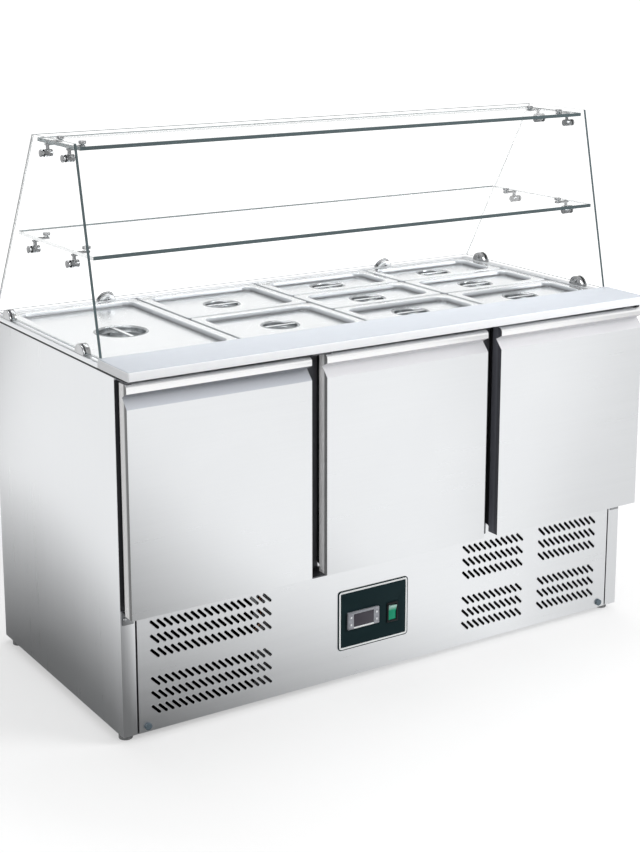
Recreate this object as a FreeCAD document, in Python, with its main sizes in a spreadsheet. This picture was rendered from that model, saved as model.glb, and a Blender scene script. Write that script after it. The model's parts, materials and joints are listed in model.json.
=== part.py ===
"""A three-door saladette: refrigerated prep counter with GN pans and a glass display top.

Millimetres, +Z up. The origin is on the floor, under the middle of the whole box.
-X is the left end and -Y is the worker's side, where the doors and the cutting board are.
"""
import FreeCAD
import Part

import math
import os
import re

import Sketcher
from FreeCAD import Placement, Rotation, Vector

# Driving dimensions
SIZES = {
    # cabinet
    "body_width": 1365,
    "body_depth": 636,
    "sheet_gauge": 1,
    "wall": 34,
    "back_wall": 28,
    "back_return": 20,
    "back_inset": 2,
    "shadow_gap": 4,
    "mullion_width": 100,
    "rail_overlap": 4,
    # feet, base and kick panel
    "foot_height": 16,
    "foot_diameter": 30,
    "foot_pad": 9,
    "foot_neck": 16,
    "foot_side_inset": 20,
    "foot_front_inset": 31,
    "base_gauge": 2,
    "kick_height": 264,
    "kick_gap": 4,
    "kick_return": 12,
    "slot_length": 30,
    "slot_width": 7,
    "slot_tilt": 45,
    "slot_pitch": 16,
    "slot_row_pitch": 31.5,
    "slot_block_pitch": 126,
    "slot_first_row": 46,
    "slot_left_inset": 40.5,
    "slot_right_inset": 49.5,
    "slot_group_gap": 68,
    "rear_vent_reach": 300,
    "cap_diameter": 16,
    "cap_height": 5,
    "cap_inset": 20,
    "cap_rise": 13,
    "screw_diameter": 8,
    "screw_head": 2.5,
    # doors
    "door_gap": 38,
    "door_thickness": 32,
    "door_stand_off": 24,
    "door_floor_gap": 15,
    "door_height": 491,
    "door_roof_gap": 8,
    "handle_bar": 18,
    "notch_height": 32,
    "notch_depth": 20,
    "notch_fall": 10,
    "bar_round": 10,
    "gasket_inset": 5,
    "gasket_width": 14,
    "gasket_gap": 0.3,
    "pivot_inset": 8,
    "pin_diameter": 8,
    "pin_reach": 12,
    "pin_play": 0.05,
    "bore_spare": 2,
    "hinge_gauge": 3,
    "hinge_gap": 0.5,
    "hinge_reach": 8,
    "hinge_tab": 26,
    "hinge_top_tab": 5,
    # worktop and cutting board
    "frame_height": 10,
    "frame_strip": 10,
    "frame_end": 24.5,
    "frame_rear": 17,
    "ledge_gauge": 1,
    "ledge_width": 12,
    "shelf_gauge": 1.5,
    "board_overhang": 64,
    "board_depth": 136,
    "board_gap": 1,
    "board_thickness": 20,
    "board_nose": 4,
    "board_corner": 5,
    # pans and their bars
    "pan_side_play": 4,
    "pan_end_play": 6,
    "pan_depth": 100,
    "pan_gauge": 0.8,
    "pan_rim": 5,
    "pan_flange": 12,
    "pan_taper": 10,
    "pan_corner": 30,
    "bar_width": 20,
    "bar_height": 10,
    # lids
    "lid_inset": 1.5,
    "lid_gauge": 0.8,
    "lid_lip": 3,
    "lid_flange": 22,
    "lid_sink": 10,
    "lid_taper": 4,
    "lid_corner": 22,
    "lid_edge_corner": 12,
    "cup_diameter": 77,
    "full_cup_diameter": 108,
    "cup_depth": 14,
    "grip_width": 10,
    "grip_gauge": 3,
    # glass
    "glass_gauge": 6,
    "glass_edge": 5.5,
    "pane_lift": 6,
    "pane_height": 427,
    "pane_foot_front": 74,
    "pane_back_inset": 15,
    "pane_head_front": 166,
    "pane_back_lean": 247,
    "shelf_glass": 8,
    "upper_shelf_drop": 7,
    "lower_shelf_rise": 209,
    "shelf_end_gap": 8,
    "shelf_edge_gap": 2,
    # glass clamps and shelf holders
    "clamp_radius": 22,
    "clamp_cheek_out": 4,
    "clamp_cheek_in": 10,
    "clamp_front_place": 165,
    "clamp_back_inset": 81,
    "rear_clamp_out": 3,
    "rear_clamp_in": 5,
    "rear_clamp_inset": 282.5,
    "clamp_screw": 9,
    "clamp_screw_head": 2,
    "holder_diameter": 16,
    "holder_length": 18,
    "holder_drop": 20,
    "stem_diameter": 8,
    "arm_length": 36,
    "arm_width": 10,
    "arm_gauge": 4,
    "bolt_diameter": 8,
    "bolt_play": 0.2,
    "disc_gauge": 5,
    "button_diameter": 16,
    "button_height": 6,
    "upper_holder_inset": 50,
    "lower_holder_inset": 90,
    # controls
    "plate_left": 150,
    "plate_width": 190,
    "plate_rise": 66,
    "plate_height": 141,
    "plate_gauge": 2,
    "plate_corner": 8,
    "plate_margin": 14,
    "cutout_play": 0.3,
    "controller_left": 23,
    "controller_rise": 48,
    "controller_width": 84,
    "controller_height": 40,
    "bezel_depth": 6,
    "case_depth": 45,
    "case_margin": 4,
    "lens_width": 54,
    "lens_height": 30,
    "lens_gauge": 2,
    "key_size": 8,
    "key_play": 0.2,
    "key_length": 4.5,
    "key_proud": 1,
    "key_well": 5,
    "key_inset": 7.5,
    "key_spacing": 17,
    "switch_left": 146,
    "switch_rise": 64,
    "switch_width": 29,
    "switch_height": 47,
    "switch_bezel": 3,
    "switch_depth": 22,
    "switch_margin": 2,
    "rocker_width": 21,
    "rocker_height": 35,
    "rocker_play": 0.3,
    "rocker_end_play": 1.3,
    "rocker_swing": 7,
    "rocker_front": 9,
    "rocker_dip": 2.5,
    "rocker_back": 5,
    "rocker_well": 16,
    "rocker_pin": 4,
    "rocker_pin_reach": 1.4,
    # cold side
    "rack_level": 165,
    "rack_gauge": 5,
    "rack_rear_gap": 84,
    "rack_gap": 10,
    "rack_play": 1,
    "rack_edge": 8,
    "rack_wire": 3,
    "rack_cell": 24,
    "runner_width": 30,
    "runner_height": 10,
    "evaporator_end_gap": 348.5,
    "evaporator_height": 110,
    "evaporator_depth": 50,
    "evaporator_stand_off": 10,
    "evaporator_rise": 246,
    # machine side
    "coil_fin": 1,
    "coil_tube": 10,
    "condenser_inset": 78.5,
    "condenser_length": 260,
    "condenser_height": 210,
    "condenser_depth": 60,
    "condenser_set_back": 40,
    "fan_gap": 5,
    "fan_plate": 2,
    "fan_hole": 200,
    "fan_diameter": 176,
    "fan_hub": 50,
    "fan_hub_length": 25,
    "fan_chord": 40,
    "fan_blade": 2,
    "fan_pitch_angle": 35,
    "fan_stand_off": 8,
    "fan_shaft": 8,
    "fan_play": 0.05,
    "motor_diameter": 70,
    "motor_length": 50,
    "motor_gap": 7,
    "strut_width": 20,
    "strut_gauge": 3,
    "compressor_inset": 212.5,
    "compressor_set_back": 350,
    "compressor_diameter": 150,
    "compressor_height": 170,
    "compressor_dome": 45,
    "compressor_foot": 12,
    "compressor_foot_length": 190,
    "compressor_foot_width": 110,
    "stub_length": 15,
    "stub_diameter": 16,
    "stub_rise": 120,
    "pipe_diameter": 10,
    "pipe_bend": 22,
    "pipe_play": 1,
    "pipe_offset": 34,
    "pipe_roof": 235,
    "grommet_diameter": 22,
    "grommet_flange": 3,
    "grommet_lip": 1.5,
    "grommet_bore": 9,
    "grommet_inset": 122.5,
    "grommet_rise": 60,
}

# Places that follow from the sizes
PLACES = {
    "half_width": "body_width/2",
    "body_back": "(body_depth + board_overhang)/2",
    "body_front": "body_back - body_depth",
    "post_width": "wall - sheet_gauge",
    "inner_half": "half_width - wall",
    "inner_back": "body_back - back_wall",
    "base_top": "foot_height + base_gauge",
    "kick_half": "half_width - post_width - kick_gap",
    "grommet_place": "half_width - grommet_inset",
    "deck": "foot_height + kick_height",
    "floor_top": "deck + wall",
    "door_bottom": "deck + door_floor_gap",
    "door_top": "door_bottom + door_height",
    "top_level": "door_top + door_roof_gap",
    "panel_top": "top_level - shadow_gap",
    "worktop": "top_level + frame_height",
    "door_width": "(body_width - 2*door_gap)/3",
    "door_back": "body_front - door_stand_off",
    "door_front": "door_back - door_thickness",
    "pivot_y": "door_back - door_thickness/2",
    "gap_centre": "door_width/2 + door_gap/2",
    "rail_bottom": "door_top - gasket_inset - gasket_width - rail_overlap",
    "board_front": "body_front - board_overhang",
    "board_back": "board_front + board_depth",
    "frame_front": "board_back + board_gap",
    "opening_front": "frame_front + frame_strip",
    "opening_back": "body_back - frame_rear",
    "opening_length": "opening_back - opening_front",
    "opening_half": "half_width - frame_end",
    "bay_pitch": "opening_half/2",
    "pan_width": "bay_pitch - pan_side_play",
    "full_length": "opening_length - pan_end_play",
    "half_length": "full_length/2",
    "third_length": "full_length/3",
    "ledge_top": "top_level + ledge_gauge",
    "pan_top": "ledge_top + pan_rim",
    "lid_top": "pan_top + lid_lip",
    "pane_foot_back": "body_depth - pane_back_inset",
    "pane_head_back": "pane_foot_back - pane_back_lean",
    "clamp_back_place": "body_depth - clamp_back_inset",
    "rear_clamp_place": "half_width - rear_clamp_inset",
    "pane_out": "half_width - glass_edge",
    "pane_in": "pane_out - glass_gauge",
    "pane_bottom": "worktop + pane_lift",
    "pane_top": "pane_bottom + pane_height",
    "front_lean": "(pane_head_front - pane_foot_front)/pane_height",
    "rear_lean": "pane_back_lean/pane_height",
    "glass_across": "glass_gauge*sqrt(1 + rear_lean*rear_lean)",
    "upper_top": "pane_top - upper_shelf_drop",
    "lower_top": "worktop + lower_shelf_rise",
    "shelf_half": "pane_in - shelf_end_gap",
    "plate_front": "body_front - plate_gauge",
    "plate_bottom": "foot_height + plate_rise",
    "bezel_left": "controller_left - plate_left",
    "bezel_bottom": "plate_bottom + controller_rise",
    "bezel_front": "plate_front - bezel_depth",
    "switch_x": "switch_left - plate_left",
    "switch_z": "plate_bottom + switch_rise",
    "rocker_y": "plate_front - switch_bezel + rocker_front",
    "rack_z": "floor_top + rack_level",
    "rack_front": "body_front + wall + rack_gap",
    "rack_depth": "inner_back - rack_rear_gap - rack_front",
    "evaporator_length": "2*(inner_half - evaporator_end_gap)",
    "evaporator_z": "floor_top + evaporator_rise",
    "evaporator_y": "inner_back - evaporator_stand_off - evaporator_depth/2",
    "condenser_y": "body_front + condenser_set_back + condenser_depth/2",
    "condenser_left": "half_width - condenser_inset",
    "condenser_end": "condenser_length - condenser_left",
    "fan_x": "condenser_length/2 - condenser_left",
    "fan_y": "body_front + condenser_set_back + condenser_depth + fan_gap",
    "fan_z": "base_top + condenser_height/2",
    "hub_front": "fan_y + fan_plate + fan_stand_off",
    "motor_front": "hub_front + fan_hub_length + motor_gap",
    "strut_back": "motor_front + motor_length + strut_gauge",
    "compressor_place": "half_width - compressor_inset",
    "compressor_y": "body_front + compressor_set_back",
    "compressor_bottom": "base_top + compressor_foot",
    "compressor_top": "compressor_bottom + compressor_height",
    "stub_z": "compressor_bottom + stub_rise",
    "pipe_drop_x": "evaporator_length/2 + pipe_offset",
}

# How the bays are filled: pans per bay, and the size that gives their length
BAYS = (
    (1, "full_length"),
    (2, "half_length"),
    (3, "third_length"),
    (3, "third_length"),
)
DOORS = ("left", "centre", "right")
LEFT_COLUMNS = 18
RIGHT_COLUMNS = 11
VENT_COLUMNS = 20
SLOT_ROWS = (0, 1, 2)
SLOT_BLOCKS = (0, 1)
FAN_BLADES = 5
CONDENSER_FINS = 26
EVAPORATOR_FINS = 40
COIL_TUBES = 4

doc = FreeCAD.newDocument("Saladette")
sheet = doc.addObject("Spreadsheet::Sheet", "Sizes")
for row, (alias, size) in enumerate(SIZES.items(), 1):
    sheet.set(f"A{row}", alias)
    sheet.set(f"B{row}", str(size))
    sheet.setAlias(f"B{row}", alias)
doc.recompute()

nodes = []

# Rotations that lay a cylinder's own axis along X or Y
ALONG = {
    "x": Rotation(Vector(0, 1, 0), 90),
    "y": Rotation(Vector(1, 0, 0), -90),
    "z": Rotation(),
}


def formula(text):
    """Write an expression on sizes and places as one on the sheet's cells."""
    def replace(match):
        word = match.group(0)
        if word in PLACES:
            return "(" + formula(PLACES[word]) + ")"
        return "Sizes." + word if word in SIZES else word
    return re.sub(r"[A-Za-z_]\w*", replace, str(text))


def number(text):
    """The present value of an expression."""
    return float(sheet.evalExpression(formula(text)))


def bind(item, **settings):
    for name, text in settings.items():
        item.setExpression(name, formula(text))
    return item


def place(item, x, y, z):
    for axis, text in (("x", x), ("y", y), ("z", z)):
        item.setExpression(f"Placement.Base.{axis}", formula(text))
    return item


def node(item, label):
    """Mark an object as a sub-part, which gets a file of its own."""
    item.Label = label
    nodes.append(item)
    return item


def box(x, y, z):
    """A block between two limits on each axis."""
    item = doc.addObject("Part::Box", "Block")
    bind(item, Length=f"({x[1]}) - ({x[0]})", Width=f"({y[1]}) - ({y[0]})", Height=f"({z[1]}) - ({z[0]})")
    return place(item, x[0], y[0], z[0])


def both(text):
    """Limits that are symmetrical about the middle."""
    return (f"-({text})", f"{text}")


def around(centre, half):
    return (f"({centre}) - ({half})", f"({centre}) + ({half})")


def rod(axis, radius, x, y, z, length):
    """A cylinder from a point along an axis."""
    item = doc.addObject("Part::Cylinder", "Rod")
    item.Placement = Placement(Vector(), ALONG[axis])
    bind(item, Radius=radius, Height=length)
    return place(item, x, y, z)


def fuse(*items):
    item = doc.addObject("Part::MultiFuse", "Joined")
    item.Shapes = list(items)
    return item


def cut(base, *tools):
    item = doc.addObject("Part::Cut", "Hollowed")
    item.Base = base
    item.Tool = tools[0] if len(tools) == 1 else fuse(*tools)
    return item


def group(*items):
    """Separate solids that share a node."""
    item = doc.addObject("Part::Compound", "Set")
    item.Links = list(items)
    return item


def feature(shape):
    item = doc.addObject("Part::Feature", "Form")
    item.Shape = shape
    return item


def rounded(base, radius, chosen):
    """Round the edges of a solid that a test picks out."""
    base.recompute(True)
    size = number(radius)
    item = doc.addObject("Part::Fillet", "Rounded")
    item.Base = base
    item.Edges = [(i, size, size) for i, edge in enumerate(base.Shape.Edges, 1) if chosen(edge)]
    return item


def runs_along(axis):
    """A test for straight edges along an axis."""
    def test(edge):
        ends = edge.Vertexes
        return len(ends) == 2 and (ends[1].Point - ends[0].Point).normalize().cross(axis).Length < 1e-6
    return test


def rises(edge):
    """A test for edges that go from one level to another."""
    ends = edge.Vertexes
    return len(ends) == 2 and abs(ends[0].Z - ends[1].Z) > 1


def profile(plane, outline, start, end):
    """A body padded from a closed outline on one of its origin planes."""
    body = doc.addObject("PartDesign::Body", "Profile")
    sketch = body.newObject("Sketcher::SketchObject", "Outline")
    support = [item for item in body.Origin.OriginFeatures if item.Role == plane]
    sketch.AttachmentSupport = [(support[0], "")]
    sketch.MapMode = "FlatFace"
    bind(sketch, **{"AttachmentOffset.Base.z": start})
    points = [Vector(number(u), number(v), 0) for u, v in outline]
    count = len(points)
    for i in range(count):
        sketch.addGeometry(Part.LineSegment(points[i], points[(i + 1) % count]), False)
    for i in range(count):
        sketch.addConstraint(Sketcher.Constraint("Coincident", i, 2, (i + 1) % count, 1))
    for i, (u, v) in enumerate(outline):
        for kind, text, value in (("DistanceX", u, points[i].x), ("DistanceY", v, points[i].y)):
            index = sketch.addConstraint(Sketcher.Constraint(kind, -1, 1, i, 1, value))
            sketch.setExpression(f"Constraints[{index}]", formula(text))
    pad = body.newObject("PartDesign::Pad", "Pad")
    pad.Profile = sketch
    bind(pad, Length=f"({end}) - ({start})")
    return body


def tub(x, y, top, bottom, half_x, half_y, taper, corner):
    """A block that narrows downwards, with rounded upright corners."""
    item = doc.addObject("Part::Wedge", "Taper")
    bind(item, Ymin="0", Ymax=f"({top}) - ({bottom})")
    for name, half in (("X2", half_x), ("Z2", half_y)):
        bind(item, **{f"{name}min": f"-({half})", f"{name}max": f"{half}"})
    for name, half in (("X", half_x), ("Z", half_y)):
        bind(item, **{f"{name}min": f"({taper}) - ({half})", f"{name}max": f"({half}) - ({taper})"})
    item.Placement = Placement(Vector(), Rotation(Vector(1, 0, 0), 90))
    place(item, x, y, bottom)
    return rounded(item, corner, rises)


def tray_rim(x, y, bottom, height, half_x, half_y, gauge, corner):
    """A flat sheet rim with a lip turned down round its edge."""
    outer = box(around(x, half_x), around(y, half_y), (bottom, f"({bottom}) + ({height})"))
    outer = rounded(outer, corner, rises)
    inside = (f"({half_x}) - ({gauge})", f"({half_y}) - ({gauge})")
    roof = f"({bottom}) + ({height}) - ({gauge})"
    hollow = box(around(x, inside[0]), around(y, inside[1]), (bottom, roof))
    return cut(outer, rounded(hollow, f"{corner} - {gauge}", rises))


def slot_wire(x, y, z, tilt):
    """The outline of one slot with round ends on an upright sheet."""
    length = number("slot_length")
    radius = number("slot_width") / 2
    along = Vector(math.cos(tilt), 0, math.sin(tilt))
    across = Vector(-along.z, 0, along.x) * radius
    middle = Vector(x, y, z)
    reach = along * (length / 2 - radius)
    tip = along * (length / 2)
    first, last = middle - reach, middle + reach
    return Part.Wire([
        Part.LineSegment(first + across, last + across).toShape(),
        Part.Arc(last + across, middle + tip, last - across).toShape(),
        Part.LineSegment(last - across, first - across).toShape(),
        Part.Arc(first - across, middle - tip, first + across).toShape(),
    ])


def frame_wire(x, y, z):
    """A rectangle on an upright sheet."""
    corners = [Vector(x[0], y, z[0]), Vector(x[1], y, z[0]), Vector(x[1], y, z[1]), Vector(x[0], y, z[1])]
    return Part.makePolygon(corners + corners[:1])


def slot_grid(starts, y, tilt):
    """Slot outlines: blocks of rows of columns, each block of columns from its own start."""
    wires = []
    for start, columns in starts:
        for block in SLOT_BLOCKS:
            for line in SLOT_ROWS:
                rise = f"{block}*slot_block_pitch + {line}*slot_row_pitch"
                z = number(f"foot_height + slot_first_row + {rise}")
                for column in range(columns):
                    wires.append(slot_wire(start + column * number("slot_pitch"), y, z, tilt))
    return wires


def holed_sheet(outline, holes, gauge):
    """A sheet with holes, thick towards +Y."""
    face = Part.makeFace(Part.Compound([outline] + holes), "Part::FaceMakerBullseye")
    return face.extrude(Vector(0, gauge, 0))


def bent_tube(points, radius, bend):
    """A tube along straight runs with tangent bends of one radius between them."""
    edges = []
    here = points[0]
    for before, corner, after in zip(points, points[1:], points[2:]):
        into = (corner - before).normalize()
        out = (after - corner).normalize()
        start, stop = corner - into * bend, corner + out * bend
        middle = corner + (out - into) * bend * (1 - math.sqrt(0.5))
        edges += [Part.LineSegment(here, start).toShape(), Part.Arc(start, middle, stop).toShape()]
        here = stop
    edges.append(Part.LineSegment(here, points[-1]).toShape())
    path = Part.Wire(edges)
    ring = Part.Wire(Part.makeCircle(radius, points[0], points[1] - points[0]))
    return path.makePipeShell([ring], True, False)


def point(x, y, z):
    return Vector(number(x), number(y), number(z))


def side_panel(side, label):
    """An end panel with its front post and back return, folded from one sheet."""
    def at(text):
        return f"{side}*({text})"
    outline = [
        (at("half_width"), "body_front"),
        (at("half_width - post_width"), "body_front"),
        (at("half_width - post_width"), "body_front + sheet_gauge"),
        (at("half_width - sheet_gauge"), "body_front + sheet_gauge"),
        (at("half_width - sheet_gauge"), "body_back - sheet_gauge"),
        (at("half_width - back_return"), "body_back - sheet_gauge"),
        (at("half_width - back_return"), "body_back"),
        (at("half_width"), "body_back"),
    ]
    node(profile("XY_Plane", outline, "foot_height", "panel_top"), label)


def back_panel():
    y = number("body_back - back_inset - sheet_gauge")
    half = number("half_width - sheet_gauge")
    outline = frame_wire((-half, half), y, (number("base_top"), number("panel_top")))
    holes = slot_grid([(-number("rear_vent_reach"), VENT_COLUMNS)], y, math.radians(90))
    centre = point("grommet_place", "body_back - back_inset - sheet_gauge", "foot_height + grommet_rise")
    holes.append(Part.Wire(Part.makeCircle(number("grommet_diameter") / 2, centre, Vector(0, 1, 0))))
    node(feature(holed_sheet(outline, holes, number("sheet_gauge"))), "back_panel")


def cord_grommet():
    """A rubber ring in the back panel, where the mains lead comes out."""
    inside = "body_back - back_inset - sheet_gauge - grommet_flange"
    z = "foot_height + grommet_rise"
    wide = "grommet_diameter/2 + grommet_flange"
    through = "grommet_flange + sheet_gauge + grommet_lip"
    neck = rod("y", "grommet_diameter/2", "grommet_place", inside, z, through)
    flange = rod("y", wide, "grommet_place", inside, z, "grommet_flange")
    lip = rod("y", wide, "grommet_place", "body_back - back_inset", z, "grommet_lip")
    bore = rod("y", "grommet_bore/2", "grommet_place", inside, z, through)
    node(cut(fuse(neck, flange, lip), bore), "cord_grommet")


def base_pan():
    y = ("body_front + sheet_gauge", "body_back - back_inset")
    node(box(both("half_width - sheet_gauge"), y, ("foot_height", "base_top")), "base_pan")


def feet():
    pieces = []
    for x in ("-(half_width - foot_side_inset)", "half_width - foot_side_inset"):
        for y in ("body_front + foot_front_inset", "body_back - foot_front_inset"):
            pad = rod("z", "foot_diameter/2", x, y, "0", "foot_pad")
            neck = rod("z", "foot_neck/2", x, y, "foot_pad", "foot_height - foot_pad")
            pieces.append(fuse(pad, neck))
    node(group(*pieces), "feet")


def insulation():
    """Foam slabs behind the floor, ends and back of the liner."""
    y = ("body_front + sheet_gauge", "body_back - back_inset - sheet_gauge")
    z = ("floor_top - sheet_gauge", "top_level")
    outside, inside = "half_width - sheet_gauge", "inner_half + sheet_gauge"
    floor = box(both(outside), y, ("deck", z[0]))
    drain = rod("z", "pipe_diameter/2 + pipe_play", "pipe_drop_x", "evaporator_y", "deck", "wall")
    left = box((f"-({outside})", f"-({inside})"), y, z)
    right = box((inside, outside), y, z)
    back = box(both(inside), ("inner_back + sheet_gauge", y[1]), z)
    node(group(cut(floor, drain), left, right, back), "insulation")


def inner_liner():
    outer = box(both("inner_half + sheet_gauge"), ("body_front", "inner_back + sheet_gauge"),
                ("floor_top - sheet_gauge", "top_level"))
    apron = box(both("inner_half + sheet_gauge"), ("body_front", "body_front + sheet_gauge"),
                ("deck", "floor_top - sheet_gauge"))
    hollow = box(both("inner_half"), ("body_front", "inner_back"), ("floor_top", "top_level"))
    drain = rod("z", "pipe_diameter/2 + pipe_play", "pipe_drop_x", "evaporator_y", "deck", "wall")
    node(cut(fuse(outer, apron), hollow, drain), "inner_liner")


def front_frame():
    """The insulated top rail and the two uprights that the door gaskets close on."""
    y = ("body_front", "body_front + wall")
    rail = box(both("inner_half"), y, ("rail_bottom", "top_level - shelf_gauge"))
    node(rail, "front_rail")
    posts = [box(around(centre, "mullion_width/2"), y, ("floor_top", "rail_bottom"))
             for centre in ("-gap_centre", "gap_centre")]
    node(group(*posts), "door_mullions")


def kick_panel():
    """The slotted front of the machine compartment, with turned-back ends."""
    y = number("body_front")
    half = number("kick_half")
    outline = frame_wire((-half, half), y, (number("foot_height"), number("deck")))
    span = f"{RIGHT_COLUMNS - 1}*slot_pitch"
    right = number(f"kick_half - slot_right_inset - {span}")
    starts = [
        (number("slot_left_inset - kick_half"), LEFT_COLUMNS),
        (right - number(f"slot_group_gap + {span}"), RIGHT_COLUMNS),
        (right, RIGHT_COLUMNS),
    ]
    holes = slot_grid(starts, y, -math.radians(number("slot_tilt")))
    left, bottom, margin = -number("plate_left"), number("plate_bottom"), number("plate_margin")
    holes.append(frame_wire((left + margin, left + number("plate_width") - margin), y,
                            (bottom + margin, bottom + number("plate_height") - margin)))
    face = feature(holed_sheet(outline, holes, number("sheet_gauge")))
    ends = []
    for side in (-1, 1):
        edge = f"{side}*(kick_half - sheet_gauge/2)"
        depth = ("body_front + sheet_gauge", "body_front + kick_return")
        ends.append(box(around(edge, "sheet_gauge/2"), depth, ("base_top", "deck")))
    node(fuse(face, *ends), "kick_panel")


def door(index, name):
    """One door: folded steel skin with its handle notch, foam core and magnetic gasket."""
    left = f"{index}*(door_width + door_gap) - half_width"
    right = f"{left} + door_width"
    lip = "door_top - handle_bar"
    outline = [
        ("door_back", "door_bottom"),
        ("door_front", "door_bottom"),
        ("door_front", f"{lip} - notch_height"),
        ("door_front + notch_depth", f"{lip} - notch_fall"),
        ("door_front", lip),
        ("door_front", "door_top"),
        ("door_back", "door_top"),
    ]
    block = profile("YZ_Plane", outline, left, right)
    block.recompute(True)
    pad = block.Tip
    front, top, back = number("door_front"), number("door_top"), number("door_back")
    nose = block.newObject("PartDesign::Fillet", "Nose")
    edges = [f"Edge{i}" for i, edge in enumerate(block.Shape.Edges, 1)
             if abs(edge.CenterOfMass.y - front) < 1e-3 and abs(edge.CenterOfMass.z - top) < 1e-3]
    nose.Base = (pad, edges)
    bind(nose, Radius="bar_round")
    block.recompute(True)
    faces = [f"Face{i}" for i, face in enumerate(block.Shape.Faces, 1)
             if abs(face.CenterOfMass.y - back) < 1e-3]
    shell = doc.addObject("Part::Thickness", "Shell")
    shell.Faces = (block, faces)
    shell.Join = 2
    bind(shell, Value="-sheet_gauge")
    pivot = hinge_line(index)
    depth = "pin_reach + bore_spare"
    wide = "pin_diameter/2 + pin_play"
    bores = (rod("z", wide, pivot, "pivot_y", "door_bottom", depth),
             rod("z", wide, pivot, "pivot_y", f"door_top - ({depth})", depth))
    node(cut(shell, *bores), f"door_{name}_skin")
    node(cut(cut(block, shell), *bores), f"door_{name}_core")
    y = ("door_back", "body_front - gasket_gap")
    inset = "gasket_inset + gasket_width"
    ring = box((f"{left} + gasket_inset", f"{right} - gasket_inset"), y,
               ("door_bottom + gasket_inset", "door_top - gasket_inset"))
    hole = box((f"{left} + {inset}", f"{right} - ({inset})"), y,
               (f"door_bottom + {inset}", f"door_top - ({inset})"))
    node(cut(ring, hole), f"door_{name}_gasket")


def hinge_line(index):
    """Where a door's pins stand: the left and centre doors hang on the left, the right one on the right."""
    if index < 2:
        return f"{index}*(door_width + door_gap) - half_width + pivot_inset"
    return "half_width - pivot_inset"


def hinge_plates():
    """Bracket places: door index, side that the tab is on, and where the tab's middle is."""
    outer = "half_width - post_width/2"
    return ((0, -1, f"-({outer})"), (1, -1, "-gap_centre"), (2, 1, outer))


def hinge_brackets():
    """Angled plates with a pin above and below each door, and a blank tab on the other upright."""
    tab_half = "post_width/2 - shadow_gap"
    tab_y = ("body_front - hinge_gauge", "body_front")
    arm_y = ("pivot_y - hinge_reach", "body_front")
    pieces = []
    for index, side, tab in hinge_plates():
        pivot = hinge_line(index)
        inner = f"{pivot} - {side}*hinge_reach"
        outer = f"{tab} + {side}*({tab_half})"
        x = (inner, outer) if side > 0 else (outer, inner)
        low = ("door_bottom - hinge_gap - hinge_gauge", "door_bottom - hinge_gap")
        high = ("door_top + hinge_gap", "door_top + hinge_gap + hinge_gauge")
        on_post = index != 1
        low_tab = (f"{low[0]} - hinge_tab", low[1]) if on_post else (low[0], f"{low[1]} + hinge_tab")
        pin = "pin_diameter/2"
        lower = fuse(box(x, arm_y, low), box(around(tab, tab_half), tab_y, low_tab),
                     rod("z", pin, pivot, "pivot_y", low[0], f"door_bottom + pin_reach - ({low[0]})"))
        high_tab = (high[0], f"{high[0]} + hinge_top_tab")
        rise = f"{high[1]} - door_top + pin_reach"
        upper = fuse(box(x, arm_y, high), box(around(tab, tab_half), tab_y, high_tab),
                     rod("z", pin, pivot, "pivot_y", "door_top - pin_reach", rise))
        pieces += [lower, upper]
    blank = box(around("gap_centre", tab_half), tab_y, ("deck + hinge_gap", "door_bottom - hinge_gap"))
    node(group(*pieces, blank), "hinge_brackets")


def panel_screws():
    """Round caps at the kick panel's lower corners and the screws of the hinge brackets."""
    pieces = []
    for side in (-1, 1):
        x = f"{side}*(kick_half - cap_inset)"
        z = "foot_height + cap_rise"
        pieces.append(rod("y", "cap_diameter/2", x, "body_front - cap_height", z, "cap_height"))
    face = "body_front - hinge_gauge - screw_head"
    for index, _, tab in hinge_plates():
        offset = "hinge_gauge + hinge_tab/2" if index == 1 else "-hinge_tab/2"
        middle = f"door_bottom - hinge_gap - hinge_gauge + {offset}"
        for step in (-1, 1):
            x = f"{tab} + {step}*post_width/4"
            pieces.append(rod("y", "screw_diameter/2", x, face, middle, "screw_head"))
    node(group(*pieces), "panel_screws")


def worktop_frame():
    """The folded top: a strip round the pan opening, a ledge in it and the shelf under the board."""
    strip = box(both("half_width"), ("frame_front", "body_back"), ("top_level", "worktop"))
    opening = box(both("opening_half"), ("opening_front", "opening_back"), ("ledge_top", "worktop"))
    well_y = ("opening_front + ledge_width", "opening_back - ledge_width")
    well = box(both("opening_half - ledge_width"), well_y, ("top_level", "worktop"))
    shelf_z = ("top_level - shelf_gauge", "top_level")
    shelf = box(both("inner_half"), ("body_front", "opening_front"), shelf_z)
    node(cut(fuse(strip, shelf), opening, well), "worktop_frame")


def bay_x(bay):
    return f"({bay} - 1.5)*bay_pitch"


def cell_y(count, place_in_bay):
    """The middle of a pan's place, counted from the front."""
    return f"opening_front + opening_length*({place_in_bay} + 0.5)/{count}"


def pan_support_bars():
    z = ("ledge_top - bar_height", "ledge_top")
    y = ("opening_front + ledge_width", "opening_back - ledge_width")
    pieces = [box(around(f"({i})*bay_pitch", "bar_width/2"), y, z) for i in (-1, 0, 1)]
    for bay, (count, _) in enumerate(BAYS):
        low = f"({bay} - 2)*bay_pitch + " + ("ledge_width" if bay == 0 else "bar_width/2")
        high = f"({bay} - 1)*bay_pitch - " + ("ledge_width" if bay == 3 else "bar_width/2")
        for step in range(1, count):
            line = f"opening_front + opening_length*{step}/{count}"
            pieces.append(box((low, high), around(line, "bar_width/2"), z))
    node(group(*pieces), "pan_support_bars")


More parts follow.
